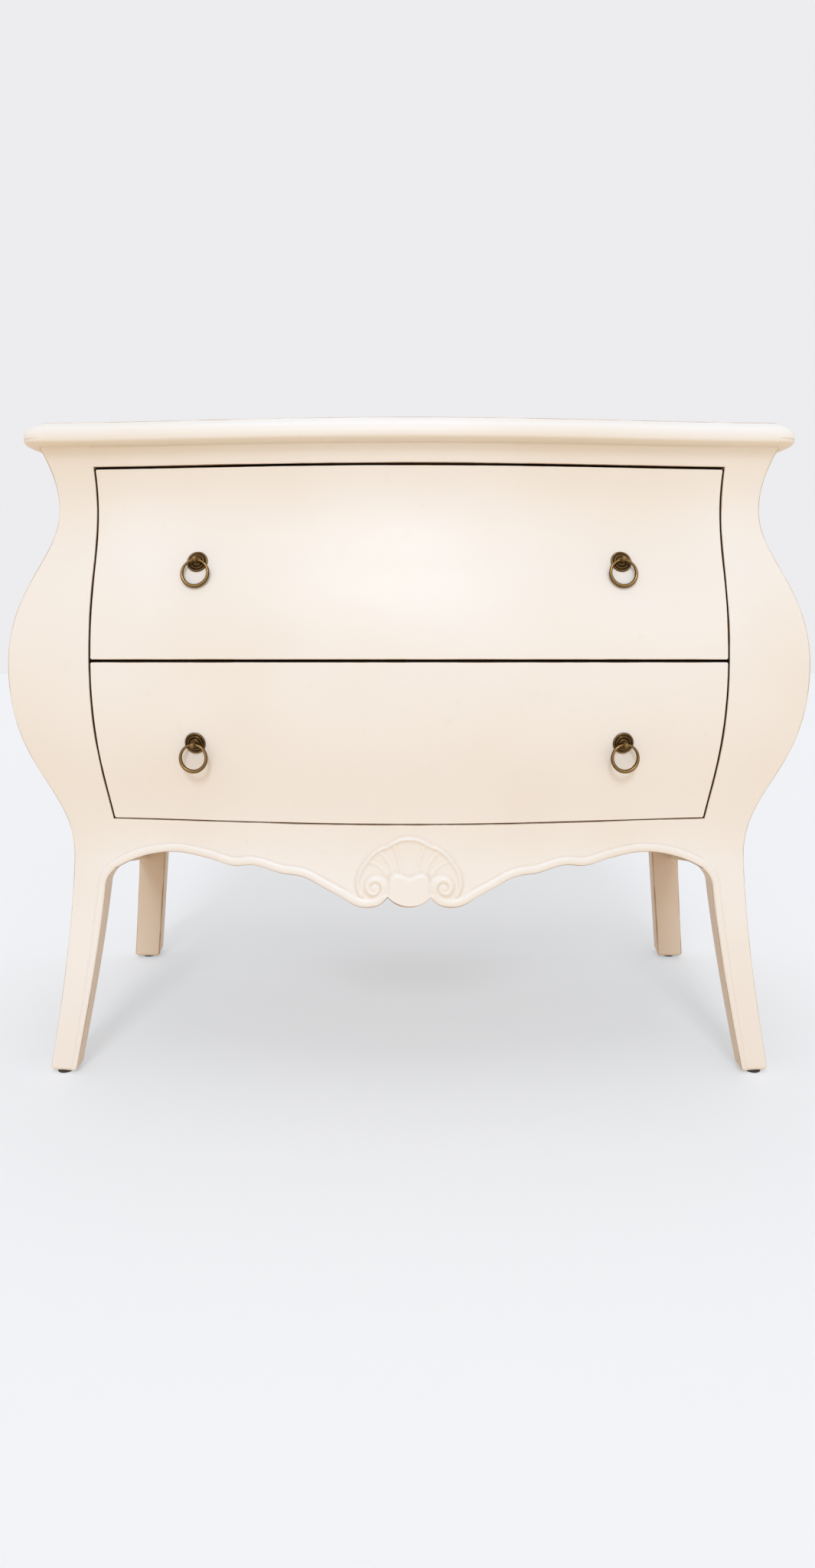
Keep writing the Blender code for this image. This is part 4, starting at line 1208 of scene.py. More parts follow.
@dataclass(frozen=True)
class Carving:
    """Relief on the apron and the legs: a bead along the lower edge, volutes, and a fluted shell."""

    form: BombeForm
    bead_width: float = 0.0118
    bead_foot_width: float = 0.0075
    bead_height: float = 0.0034
    bead_start: float = 0.004
    bead_narrowing: float = 0.06
    bead_middle: float = 0.13
    bead_full: float = 0.015
    bead_shares: tuple[float, float, float] = (0.40, 0.65, 1.0)
    apron_steps: int = 420
    leg_steps: int = 220
    lobe_drop: float = 0.1055
    notch: tuple[float, float] = (0.0278, 0.0935)
    scroll: tuple = (
        (0.033, 0.0995),
        (0.041, 0.1046),
        (0.049, 0.1066),
        (0.057, 0.1071),
        (0.065, 0.1060),
        (0.074, 0.1027),
        (0.0855, 0.0962),
        (0.1065, 0.0855),
    )
    wing: tuple = (
        (0.257, 0.070),
        (0.230, 0.0665),
        (0.1895, 0.057),
        (0.167, 0.059),
        (0.129, 0.050),
        (0.087, 0.0437),
        (0.047, 0.049),
        (0.018, 0.0595),
    )
    volute: tuple[float, float] = (0.0451, 0.0818)
    volute_reach: float = 0.0196
    volute_shrink: float = 5.9
    volute_turn: float = 3.1 * math.pi
    volute_steps: int = 260
    volute_fill: float = 0.42
    volute_base: float = 0.0022
    volute_ground: float = 0.80
    volute_slope: float = 0.004
    volute_roll: float = 0.0026
    volute_eye: float = 0.0052
    rim: Ridge = Ridge(
        (
            (-11.0, 20.2), (0, 18.8), (11.0, 20.2), (21.0, 24.8), (28.6, 29.4), (35.0, 31.2), (44.0, 37.0),
            (52.0, 45.2), (58.5, 54.2), (63.5, 63.2), (66.2, 72.0), (66.2, 81.0), (62.0, 92.0),
        ),
        4.4,
        3.4,
    )
    flutes: tuple[Ridge, ...] = (
        Ridge(((10.0, 64.0), (13.2, 48.0), (19.0, 28.0)), 2.4, 1.0),
        Ridge(((20.5, 63.0), (26.5, 49.5), (38.0, 35.5)), 2.4, 1.0),
        Ridge(((29.0, 64.5), (39.5, 53.4), (52.0, 48.0)), 2.2, 0.9),
    )
    fan_middle: float = 66.0
    fan_rise: float = 0.0016
    dish_end: float = 1.02
    dish_fade: float = 0.06
    sunk: float = 0.0005
    sunk_place: float = 1.17
    sunk_width: float = 0.10
    lobe_half: float = 0.0272
    lobe_skirt: float = 0.0006
    lobe_top: tuple = (
        (-3.0, 67.0), (0.0, 67.6), (3.0, 67.0), (7.0, 65.1), (12.0, 63.5), (17.0, 63.2), (22.0, 65.0),
        (25.5, 69.5), (27.2, 77.0),
    )
    lobe_height: float = 0.0042
    lobe_shoulder: float = 0.0055
    lobe_crown: float = 0.15
    grid: float = 0.35 * MILLIMETRE
    blur: float = 0.75 * MILLIMETRE
    shell_zone: float = 0.086
    zone_blend: float = 0.012
    margin: float = 0.005

    def edge_drop(self, x: np.ndarray) -> np.ndarray:
        """Drop of the apron's lower edge below the opening.

        Args:
            x: distances from the middle.

        Returns:
            The drop at each distance.
        """
        place, drop = self.notch
        rise = self.lobe_drop - drop
        radius = (place**2 + rise**2) / (2 * rise)
        lobe = self.lobe_drop - radius + np.sqrt(radius**2 - np.minimum(x, place) ** 2)
        knee = float(self.form.opening_x(self.form.apron_end))
        wing = [(knee - inward, fall) for inward, fall in self.wing] + [(knee, self.form.apron_drop)]
        rest = curve_through([self.notch, *self.scroll, *wing], np.maximum(x, place))
        return np.where(x < place, lobe, rest)

    def bead_line(self) -> tuple[np.ndarray, np.ndarray]:
        """Edge that the bead follows on the right: the apron from the notch outwards, then the leg.

        Returns:
            (x, z) points, and the bead's width at each.
        """
        form = self.form
        knee = float(form.opening_x(form.apron_end))
        share = np.linspace((self.notch[0] + self.bead_start) / knee, 1, self.apron_steps)
        z = form.opening_bottom - self.edge_drop(share * knee)
        apron = np.stack([share * form.opening_x(z), z], axis=-1)
        z = np.linspace(form.apron_end, 0, self.leg_steps)[1:]
        leg = np.stack([form.inner_x(z), z], axis=-1)
        levels = (0, form.apron_end - self.bead_narrowing)
        narrow = np.interp(z, levels, (self.bead_foot_width, self.bead_width))
        return np.concatenate([apron, leg]), np.concatenate([np.full(len(apron), self.bead_width), narrow])

    def volute_line(self) -> tuple[np.ndarray, np.ndarray]:
        """Spiral into which the bead curls on the right.

        Returns:
            (x, z) points, and the half width of the roll at each.
        """
        turn = np.linspace(0, self.volute_turn, self.volute_steps)
        reach = self.volute_reach * np.exp(-turn / self.volute_shrink)
        angle = -math.pi / 2 - turn
        centre = np.array((self.volute[0], self.form.opening_bottom - self.volute[1]))
        line = centre + reach[:, None] * np.stack([np.cos(angle), np.sin(angle)], axis=-1)
        return line, np.minimum(self.bead_width / 2, self.volute_fill * reach)

    @staticmethod
    def nearest(
        x: np.ndarray, z: np.ndarray, line: np.ndarray, width: np.ndarray, batch: int = 4000
    ) -> np.ndarray:
        """Distance to a line as a share of its width, at the place where that share is least.

        Args:
            x: places across the front.
            z: heights.
            line: (x, z) points of the line.
            width: the width at each.
            batch: how many places are worked out at once.

        Returns:
            The share at each place.
        """
        flat_x, flat_z = x.ravel(), z.ravel()
        best = np.full(flat_x.shape, np.inf)
        low, high = line.min(0) - width.max(), line.max(0) + width.max()
        near = np.where((flat_x > low[0]) & (flat_x < high[0]) & (flat_z > low[1]) & (flat_z < high[1]))[0]
        for chunk in np.array_split(near, max(1, len(near) // batch)):
            spot = np.stack([flat_x[chunk], flat_z[chunk]], axis=-1)
            gap = np.hypot(spot[:, None, 0] - line[None, :, 0], spot[:, None, 1] - line[None, :, 1])
            at = (gap / width[None]).argmin(1)
            for first in (np.maximum(at - 1, 0), np.minimum(at, len(line) - 2)):
                run = line[first + 1] - line[first]
                along = ((spot - line[first]) * run).sum(1) / (run * run).sum(1)
                foot = line[first] + run * np.clip(along, 0, 1)[:, None]
                best[chunk] = np.minimum(best[chunk], np.hypot(*(spot - foot).T) / width[at])
        return best.reshape(x.shape)

    def bead(self, x: np.ndarray, z: np.ndarray) -> np.ndarray:
        """Half-round bead on the apron and the leg.

        Args:
            x: places across the front, right of the middle.
            z: heights.

        Returns:
            The height of the carving at each place.
        """
        line, width = self.bead_line()
        share = self.nearest(x, z, line, width)
        levels = (0, self.bead_middle, self.form.apron_end - self.bead_full)
        full = np.interp(z, levels, self.bead_shares)
        return self.bead_height * full * half_round(np.where(share > 1, 1, 2 * share - 1))

    def roll(self, x: np.ndarray, z: np.ndarray) -> np.ndarray:
        """Volute that the bead curls into, on a low round ground.

        Args:
            x: places across the front, right of the middle.
            z: heights.

        Returns:
            The height of the carving at each place.
        """
        line, width = self.volute_line()
        share = np.minimum(self.nearest(x, z, line, width), 1)
        eye = np.hypot(x - self.volute[0], z - self.form.opening_bottom + self.volute[1])
        inside = self.volute_reach * self.volute_ground - eye
        ground = self.volute_base * np.clip(inside / self.volute_slope, 0, 1)
        dome = self.volute_roll * half_round(np.clip(eye / self.volute_eye, 0, 1))
        return ground + np.maximum(self.volute_roll * half_round(share), dome)

    def along(self, ridge: Ridge, x: np.ndarray, z: np.ndarray, steps: int = 40) -> np.ndarray:
        """One soft ridge.

        Args:
            ridge: the ridge.
            x: places across the front, right of the middle.
            z: heights.
            steps: points of its line for each of the ridge's own points.

        Returns:
            The height of the ridge at each place.
        """
        order = np.arange(len(ridge.line))
        at = np.linspace(0, order[-1], steps * len(order))
        across, drop = (curve_through(list(zip(order, values)), at) for values in np.array(ridge.line).T)
        line = np.stack([across * MILLIMETRE, self.form.opening_bottom - drop * MILLIMETRE], axis=-1)
        share = self.nearest(x, z, line, np.full(len(line), ridge.half_width * MILLIMETRE))
        return ridge.height * MILLIMETRE * np.cos(math.pi / 2 * np.minimum(share, 1)) ** 2

    def fan(self, x: np.ndarray, z: np.ndarray) -> np.ndarray:
        """Fluted fan, its rolled rim and the slightly sunk ground round it.

        Args:
            x: places across the front, right of the middle.
            z: heights.

        Returns:
            The height of the carving at each place.
        """
        rise = self.fan_middle - (self.form.opening_bottom - z) / MILLIMETRE
        across = x / MILLIMETRE
        rim_x, rim_drop = np.array(self.rim.line).T
        rim_rise = self.fan_middle - rim_drop
        rim = np.interp(np.arctan2(across, rise), np.arctan2(rim_x, rim_rise), np.hypot(rim_x, rim_rise))
        inside = np.hypot(across, rise) / rim
        fade = np.clip((self.dish_end - inside) / self.dish_fade, 0, 1)
        dish = self.fan_rise * np.clip(inside, 0, 1) ** 2 * fade
        halo = self.sunk * np.exp(-(((inside - self.sunk_place) / self.sunk_width) ** 2))
        raised = dish + sum(self.along(ridge, x, z) for ridge in self.flutes) * (inside < 1)
        return np.maximum(raised, self.along(self.rim, x, z)) - halo

    def lobe(self, x: np.ndarray, z: np.ndarray) -> np.ndarray:
        """Smooth shield at the shell's foot, whose upper edge dips in the middle.

        Args:
            x: places across the front, right of the middle.
            z: heights.

        Returns:
            The height of the carving at each place.
        """
        drop = self.form.opening_bottom - z
        across = np.clip(x / MILLIMETRE, 0, self.lobe_top[-1][0])
        upper = curve_through(self.lobe_top, across) * MILLIMETRE
        inward = np.minimum(drop - upper, self.lobe_half + self.lobe_skirt - x)
        edge = half_round(1 - np.clip(inward / self.lobe_shoulder, 0, 1))
        crown = 1 - self.lobe_crown * np.clip(x / self.lobe_half, 0, 1) ** 2
        return np.where(inward > 0, self.lobe_height * edge * crown, 0)

    def shell(self) -> tuple[np.ndarray, np.ndarray, np.ndarray]:
        """Heights of the carving round the middle.

        Returns:
            The heights on an even grid over the right half, and the grid's x and z places.
        """
        top = self.form.opening_bottom
        wide = np.arange(-self.margin, self.shell_zone + self.margin, self.grid)
        high = np.arange(top - self.lobe_drop - self.margin, top, self.grid)
        x, z = np.meshgrid(np.abs(wide), high, indexing="ij")
        edge = np.maximum(self.bead(x, z), self.roll(x, z))
        raised = np.maximum(edge, self.lobe(x, z))
        return softened(np.maximum(raised, self.fan(x, z)), self.blur / self.grid), wide, high

    def relief(self, x: np.ndarray, z: np.ndarray) -> np.ndarray:
        """Height of all the carving over the plain front.

        Args:
            x: places across the front.
            z: heights.

        Returns:
            The height at each place.
        """
        away = np.abs(x)
        heights, wide, high = self.shell()
        across = np.clip((away - wide[0]) / self.grid, 0, len(wide) - GRID_END)
        upward = np.clip((z - high[0]) / self.grid, 0, len(high) - GRID_END)
        i, j = across.astype(int), upward.astype(int)
        u, v = across - i, upward - j
        low = heights[i, j] * (1 - u) + heights[i + 1, j] * u
        carved = low * (1 - v) + (heights[i, j + 1] * (1 - u) + heights[i + 1, j + 1] * u) * v
        share = np.clip((self.shell_zone - away) / self.zone_blend, 0, 1)
        return share * carved + (1 - share) * self.bead(away, z)


# Places of the points across the bead, from the edge inwards.
BEAD_PLACES = MILLIMETRE * np.array(
    (0, 1.3, 1.9, 2.6, 3.4, 4.3, 5.3, 6.3, 7.3, 8.2, 9.0, 9.7, 10.4, 11.0, 11.5, 12.0, 12.4, 12.9, 13.6)
)


@dataclass(frozen=True)
class CarvedApron:
    """Front apron with its carving."""

    form: BombeForm
    carving: Carving
    thickness: float = 0.024
    shell_columns: int = 250
    wing_columns: int = 130
    plain_rows: int = 104
    round_steps: int = 6
    lower_round: float = 2.0 * MILLIMETRE
    upper_round: float = 1.6 * MILLIMETRE
    rear_round: float = 1.5 * MILLIMETRE
    worn: float = 1.5 * MILLIMETRE
    worn_swell: float = 0.9 * MILLIMETRE
    worn_lobe: float = 0.022
    lower_rub: float = 0.95
    upper_rub: float = 0.9
    rear_rub: float = 0.3

    def shares(self) -> np.ndarray:
        """Places of the columns, close together on the shell.

        Returns:
            The places as shares of the apron's half length.
        """
        knee = float(self.form.opening_x(self.form.apron_end))
        zone = self.carving.shell_zone / knee
        shell = np.linspace(-zone, zone, self.shell_columns)
        notch = self.carving.notch[0] / knee
        for place in (-notch, notch):
            shell[np.argmin(np.abs(shell - place))] = place
        wing = zone + (1 - zone) * np.linspace(0, 1, self.wing_columns)[1:]
        return np.concatenate([-wing[::-1], shell, wing])

    def build(self, finishes: Finishes) -> None:
        """Draw the apron and fix it to the case.

        Args:
            finishes: the materials.
        """
        form = self.form
        share = self.shares()
        knee = float(form.opening_x(form.apron_end))
        low = form.opening_bottom - self.carving.edge_drop(np.abs(share) * knee)
        height = form.opening_bottom - low
        # The rounded top edge takes the place of the last rows but one.
        rise = np.delete(np.linspace(0, 1, self.plain_rows)[1:], (-2, -3))
        plain = BEAD_PLACES[-1] + (height[:, None] - BEAD_PLACES[-1]) * rise[None]
        place = np.concatenate([np.tile(BEAD_PLACES, (len(share), 1)), plain], axis=1)
        z = low[:, None] + place
        x = share[:, None] * form.opening_x(z)
        relief = self.carving.relief(x, z)
        front = np.stack([x, form.front_y(x, z) - relief, z], axis=-1)
        rows = np.array((1.0, 0.5, 0.0))
        back_z = low[:, None] + height[:, None] * rows
        back_x = share[:, None] * form.opening_x(back_z)
        back = np.stack([back_x, form.front_y(back_x, back_z) + self.thickness, back_z], axis=-1)
        count = front.shape[1]
        skins = [Skin.PAINT] * (count - 1) + [Skin.WOOD] * len(rows) + [Skin.PAINT]
        loft = Loft(np.concatenate([front, back], axis=1), skins)
        # Glaze and painted shade in the carving's hollows: the sunken places turn warmer and darker.
        loft.glaze[:, :count] = hollows(relief)
        # Wear and painted shade: a brown band along the lower edge, under the bead, wider at the lobe.
        worn = self.worn + self.worn_swell * np.exp(-((x / self.worn_lobe) ** 2))
        loft.rub[:, :count] = np.exp(-((place / worn) ** 2))
        loft.round(count + len(rows) - 1, self.rear_round, 4, self.rear_rub)
        loft.round(count - 1, self.upper_round, self.round_steps, self.upper_rub)
        loft.round(0, self.lower_round, self.round_steps)
        loft.rub[:, 2 : self.round_steps + 1] = self.lower_rub
        piece = loft.make("front_apron_carved", *finishes.board(Grain.ALONG_X))
        settle(piece, "case", "cream_paint", "front_apron")


def drawn_in(points: np.ndarray, inset: float) -> np.ndarray:
    """Level section drawn in towards its middle by a distance.

    Args:
        points: the section.
        inset: the distance.

    Returns:
        The smaller section.
    """
    low, high = points[:, :2].min(0), points[:, :2].max(0)
    middle, half = (low + high) / 2, (high - low) / 2
    smaller = points.copy()
    smaller[:, :2] = middle + (points[:, :2] - middle) * (1 - inset / half)
    return smaller


def rounded_foot(
    points: np.ndarray, radius: float, steps: int = 8, least_step: float = 0.5 * MILLIMETRE
) -> np.ndarray:
    """Sections of a post with a rounded bottom added under them.

    Args:
        points: the sections, the lowest first.
        radius: radius of the rounding.
        steps: the number of faces round it.
        least_step: sections closer above the rounding than this are left out.

    Returns:
        The sections with the rounding.
    """
    levels = points[:, 0, 2]
    level = levels[0] + radius
    over = int(np.searchsorted(levels, level))
    share = (level - levels[over - 1]) / (levels[over] - levels[over - 1])
    base = points[over - 1] * (1 - share) + points[over] * share
    added = []
    for turn in np.linspace(0, math.pi / 2, steps, endpoint=False):
        section = drawn_in(base, radius * (1 - math.sin(turn)))
        section[:, 2] = level - radius * math.cos(turn)
        added.append(section)
    above = points[levels > level + least_step]
    return np.concatenate([np.stack(added), base[None], above])


@dataclass(frozen=True)
class FrontPosts:
    """Front posts: each a stile above and a beaded, splayed leg below."""

    form: BombeForm
    carving: Carving
    foot: float = 0.0024
    tenon: float = 0.0019
    plain_columns: int = 16
    leg_rows: int = 42
    bend_rows: int = 62
    stile_rows: int = 112
    bend_reach: float = 0.045
    side_shares: tuple[float, ...] = (0.3, 0.65, 1.0)
    cheek_shares: tuple[float, ...] = (0.35, 0.75)
    foot_round: float = 5.5 * MILLIMETRE
    corner_round: float = 2.4 * MILLIMETRE
    rear_round: float = 1.5 * MILLIMETRE
    inner_round: float = 1.1 * MILLIMETRE
    butted_round: float = 0.05 * MILLIMETRE
    hairline: float = 0.2 * MILLIMETRE
    corner_steps: int = 8
    rear_steps: int = 4
    corner_rub: float = 0.8
    rear_rub: float = 0.6
    inner_rub: float = 0.85
    foot_glaze: float = 0.60
    glaze_height: float = 0.20

    def heights(self) -> np.ndarray:
        """Heights of the sections, closest where the bead turns from the apron to the leg.

        Returns:
            The heights, the lowest first.
        """
        leg_end = self.form.apron_end - self.bend_reach
        bend_end = self.form.opening_bottom - self.bend_reach
        leg = np.linspace(self.foot, leg_end, self.leg_rows)
        bend = np.linspace(leg_end, bend_end, self.bend_rows)
        stile = np.linspace(bend_end, self.form.top, self.stile_rows)
        return np.concatenate([leg[:-1], bend[:-1], stile])

    def loft(self) -> Loft:
        """Draw the right-hand post in sections.

        Returns:
            Its skin.
        """
        form = self.form
        z = self.heights()[:, None]
        inner = form.inner_x(z)
        corner = form.corner_x(z)
        depth = form.depth_of_post(z)
        bead = inner + BEAD_PLACES
        plain = bead[:, -1:] + (corner - bead[:, -1:]) * np.linspace(0, 1, self.plain_columns)[1:]
        x = np.concatenate([bead, plain], axis=1)
        level = np.broadcast_to(z, x.shape)
        relief = self.carving.bead(x, level)
        front = np.stack([x, form.front_y(x, level) - relief, level], axis=-1)
        start = form.front_y(corner, z)
        side_y = start + depth * np.array(self.side_shares)
        side_z = np.broadcast_to(z, side_y.shape)
        side = np.stack([form.side_x(side_y, side_z), side_y, side_z], axis=-1)
        rear = np.stack([form.inner_back_x(z), form.front_y(inner, z) + depth, z], axis=-1)
        cheek = rear + (front[:, :1] - rear) * np.array(self.cheek_shares)[None, :, None]
        points = np.concatenate([front, side, rear, cheek], axis=1)
        points = np.concatenate([points, points[-1:] + np.array((0, 0, self.tenon))])
        corner_place = x.shape[1] - 1
        side_end = corner_place + len(self.side_shares)
        loft = Loft(rounded_foot(points, self.foot_round))
        level = loft.points[:, 0, 2]
        beside_drawer = (level > form.opening_bottom - self.hairline) & (level < form.opening_top)
        free = beside_drawer | (level < form.apron_end - 2 * self.hairline)
        loft.round(side_end + 1, self.rear_round, steps=self.rear_steps, rub=self.rear_rub)
        loft.round(side_end, self.rear_round, steps=self.rear_steps, rub=0.0)
        loft.round(corner_place, self.corner_round, steps=self.corner_steps, rub=self.corner_rub)
        inner_round = np.where(free, self.inner_round, self.butted_round)
        loft.round(0, inner_round, rub=np.where(free, self.inner_rub, 0.0))
        # Painted shade: the legs' paint warms and darkens towards the floor.
        loft.glaze += self.foot_glaze * np.clip(1 - loft.points[..., 2] / self.glaze_height, 0, 1)
        count = loft.points.shape[1]
        behind = count - len(self.cheek_shares) - 1
        # The cheeks beside the drawers take the near-black stain, painted shade of the gaps.
        loft.patches.append((form.opening_bottom, form.opening_top, behind, count, Skin.STAIN))
        return loft

    def build(self, finishes: Finishes) -> None:
        """Draw both posts and fix them to the case.

        Args:
            finishes: the materials.
        """
        loft = self.loft()
        for side in Side:
            node = f"front_post_{side.word}"
            piece = loft.mirrored(side).make(f"{node}_painted", *finishes.board(Grain.ALONG_Z))
            settle(piece, "case", "cream_paint", node)


@dataclass(frozen=True)
class RearPosts:
    """Rear posts, whose legs taper and turn out with the sides."""

    form: BombeForm
    depth: float = 0.042
    knee_inner: float = 0.436
    foot_inner: float = 0.453
    slant: float = 0.0065
    slant_run: float = 0.080
    foot: float = 0.0040
    foot_round: float = 7.0 * MILLIMETRE
    corner_round: float = 4.0 * MILLIMETRE
    corner_steps: int = 8
    corner_rub: float = 0.7
    rows: int = 150
    glaze_run: float = 0.08

    @property
    def front(self) -> float:
        """Depth of the posts' front face."""
        return self.form.back - self.depth

    def build(self, finishes: Finishes) -> None:
        """Draw both posts and fix them to the case.

        Args:
            finishes: the materials.
        """
        form = self.form
        z = np.linspace(self.foot, form.top, self.rows)
        inner = np.interp(z, (0, form.knee), (self.foot_inner, self.knee_inner))
        turned = inner + np.interp(z, (form.knee - self.slant_run, form.knee), (self.slant, 0))
        outer = form.side_x(self.front, z)
        rear = form.side_x(form.back, z)
        front_y = np.full_like(z, self.front)
        back_y = np.full_like(z, form.back)
        corners = [(inner, front_y), (outer, front_y), (rear, back_y), (turned, back_y)]
        ring = []
        for place, (x, y) in enumerate(corners):
            after_x, after_y = corners[(place + 1) % len(corners)]
            ring.append(np.stack([x, y, z], axis=-1))
            ring.append(np.stack([(x + after_x) / 2, (y + after_y) / 2, z], axis=-1))
        loft = Loft(rounded_foot(np.stack(ring, axis=1), self.foot_round))
        for place in reversed(range(0, len(ring), 2)):
            loft.round(place, self.corner_round, steps=self.corner_steps, rub=self.corner_rub)
        # Painted shade: the legs' front faces warm and darken towards the feet.
        forward = np.clip((form.back - loft.points[..., 1]) / self.depth, 0, 1)
        lower = np.clip((form.knee - loft.points[..., 2]) / self.glaze_run, 0, 1)
        loft.glaze += forward * lower
        for side in Side:
            node = f"rear_post_{side.word}"
            piece = loft.mirrored(side).make(f"{node}_painted", finishes.dull_paint)
            settle(piece, "case", "cream_paint", node)


@dataclass(frozen=True)
class SideWalls:
    """Swelling side panels and the shaped aprons under them."""

    form: BombeForm
    rear_front: float
    thickness: float = 0.015
    rear_drop: float = 0.148
    edge_power: float = 0.9
    edge_round: float = 2.0 * MILLIMETRE
    edge_steps: int = 5
    outer_rub: float = 0.9
    inner_rub: float = 0.3
    panel_rows: int = 110
    panel_columns: int = 12
    apron_rows: int = 12
    apron_columns: int = 70
    first_row: float = 0.05

    def strip(self, share: np.ndarray, z: np.ndarray) -> tuple[np.ndarray, np.ndarray]:
        """Outer and inner points of the side.

        Args:
            share: how far from the front post to the rear one.
            z: heights.

        Returns:
            The outer points and the inner points.
        """
        form = self.form
        corner = form.corner_x(z)
        depth = form.depth_of_post(z)
        start = form.front_y(corner, z) + depth
        inner_edge = form.inner_back_x(z)
        inner_start = form.front_y(form.inner_x(z), z) + depth
        edge = form.side_x(start, z)
        outer_y = start + (self.rear_front - start) * share
        outer = np.stack([form.side_x(outer_y, z), outer_y, z], axis=-1)
        slope = (start - inner_start) / (edge - inner_edge)
        near = start - slope * self.thickness
        inner_y = near + (self.rear_front - near) * share
        inner = np.stack([form.side_x(inner_y, z) - self.thickness, inner_y, z], axis=-1)
        return outer, inner

    def drop(self, share: np.ndarray) -> np.ndarray:
        """Drop of the apron's lower edge, which falls from the knee to the rear post."""
        start = self.form.apron_drop
        return start + (self.rear_drop - start) * share**self.edge_power

    def panel(self) -> Loft:
        """Draw the right-hand panel in sections.

        Returns:
            Its skin.
        """
        levels = np.linspace(self.form.opening_bottom, self.form.top, self.panel_rows)
        z, share = np.meshgrid(levels, np.linspace(0, 1, self.panel_columns), indexing="ij")
        outer, inner = self.strip(share, z)
        skins = [Skin.PAINT] * self.panel_columns + [Skin.WOOD] * self.panel_columns
        return Loft(np.concatenate([outer, inner[:, ::-1]], axis=1), skins, laddered=True)

    def apron(self) -> Loft:
        """Draw the right-hand apron in sections.

        Returns:
            Its skin.
        """
        share = np.linspace(0, 1, self.apron_columns)[:, None]
        low = self.form.opening_bottom - self.drop(share)
        rise = np.concatenate([[0, self.first_row], np.linspace(0, 1, self.apron_rows)[1:]])
        z = low + (self.form.opening_bottom - low) * rise
        outer, inner = self.strip(np.broadcast_to(share, z.shape), z)
        count = len(rise)
        loft = Loft(np.concatenate([outer, inner[:, ::-1]], axis=1))
        loft.round(2 * count - 1, self.edge_round, steps=self.edge_steps, rub=self.inner_rub)
        loft.round(0, self.edge_round, steps=self.edge_steps, rub=self.outer_rub)
        return loft

    def build(self, finishes: Finishes) -> None:
        """Draw both sides and fix them to the case.

        Args:
            finishes: the materials.
        """
        for name, loft in (("side_panel", self.panel()), ("side_apron", self.apron())):
            for side in Side:
                node = f"{name}_{side.word}"
                skin = loft.mirrored(side)
                piece = skin.make(f"{node}_painted", finishes.paint, finishes.wood[Grain.ALONG_Y])
                settle(piece, "case", "cream_paint", node)


@dataclass(frozen=True)
class TopRail:
    """Rail between the top and the upper drawer."""

    form: BombeForm
    rear: float
    columns: int = 110
    rows: int = 9
    edge_round: float = 1.1 * MILLIMETRE
    edge_rub: float = 0.85

    def build(self, finishes: Finishes) -> None:
        """Draw the rail and fix it to the case.

        Args:
            finishes: the materials.
        """
        form = self.form
        x = np.linspace(-form.opening, form.opening, self.columns)[:, None]
        z = np.linspace(form.opening_top, form.top, self.rows)[None]
        wide, high = np.broadcast_arrays(x, z)
        front = np.stack([wide, form.front_y(wide, high), high], axis=-1)
        rear = front[:, [-1, 0]].copy()
        rear[..., 1] = self.rear
        # The underside over the upper drawer takes the near-black stain, painted shade of the gap.
        skins = [Skin.PAINT] * (self.rows - 1) + [Skin.WOOD] * 2 + [Skin.STAIN]
        loft = Loft(np.concatenate([front, rear], axis=1), skins)
        loft.round(0, self.edge_round, rub=self.edge_rub, skin=Skin.PAINT)
        piece = loft.make("top_rail_painted", *finishes.board(Grain.ALONG_X))
        settle(piece, "case", "cream_paint", "top_rail")


@dataclass(frozen=True)
class DrawerFront:
    """Drawer front, bombe in height and bowed in plan, with eased edges."""

    form: BombeForm
    drawer: Drawer
    gap: float = 0.002
    thickness: float = 0.022
    easing: float = 1.3 * MILLIMETRE
    easing_steps: int = 6
    edge_rub: float = 0.8
    corner: float = 2.6 * MILLIMETRE
    margins: Span = (2 * MILLIMETRE, 3 * MILLIMETRE)
    columns: int = 130
    rows: int = 72

    def build(self, finishes: Finishes) -> None:
        """Draw the front and fix it to its drawer.

        Args:
            finishes: the materials.
        """
        form = self.form
        node = f"{self.drawer.value}_front"
        low, high = (corner.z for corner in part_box(node))
        turns = np.linspace(math.pi / 2, 0, self.easing_steps)
        inset = np.concatenate([self.easing * (1 - np.sin(turns)), self.margins])
        pull = np.concatenate([self.easing * (1 - np.cos(turns)), np.zeros_like(self.margins)])
        worn = np.concatenate([self.edge_rub * np.sin(2 * turns) ** 2, np.zeros_like(self.margins)])
        lift = self.corner * (1 - half_round(np.clip(1 - inset / self.corner, 0, 1)))
        lift = np.concatenate([lift, np.zeros(self.columns), lift[::-1]])[:, None]
        z = low + lift + (high - low - 2 * lift) * np.linspace(0, 1, self.rows)[None]
        edge = form.opening_x(z) - self.gap
        ends = len(inset)
        right = edge[-ends:] - inset[::-1, None]
        reach = edge[ends:-ends] - sum(self.margins)
        middle = np.linspace(-1, 1, self.columns)[:, None] * reach
        x = np.concatenate([-right[::-1], middle, right])
        back_off = np.concatenate([pull, np.zeros(self.columns), pull[::-1]])[:, None]
        rub = np.concatenate([worn, np.zeros(self.columns), worn[::-1]])[:, None]
        surface = form.front_y(x, z)
        front = np.stack([x, surface + back_off, z], axis=-1)
        inner = np.stack([x, surface + self.thickness, z], axis=-1)[:, ::-1]
        count = self.rows
        # The edges and ends take the near-black stain, painted shade of the gaps round the drawer.
        skins = [Skin.PAINT] * (count - 1) + [Skin.STAIN] + [Skin.WOOD] * (count - 1) + [Skin.STAIN]
        loft = Loft(np.concatenate([front, inner], axis=1), skins, (Skin.STAIN, Skin.STAIN), True)
        loft.rub[:, :count] = rub
        loft.round(2 * count - 1, self.easing, rub=0.0)
        loft.round(count, self.easing, rub=0.0)
        loft.round(count - 1, self.easing, rub=self.edge_rub)
        loft.round(0, self.easing, rub=self.edge_rub, skin=Skin.PAINT)
        piece = loft.make(f"{node}_painted", *finishes.board(Grain.ALONG_X))
        settle(piece, self.drawer.value, "cream_paint", node)


BALL_RUB = 0.6
HANDLE_SHARES = {Drawer.UPPER: 0.507, Drawer.LOWER: 0.503}


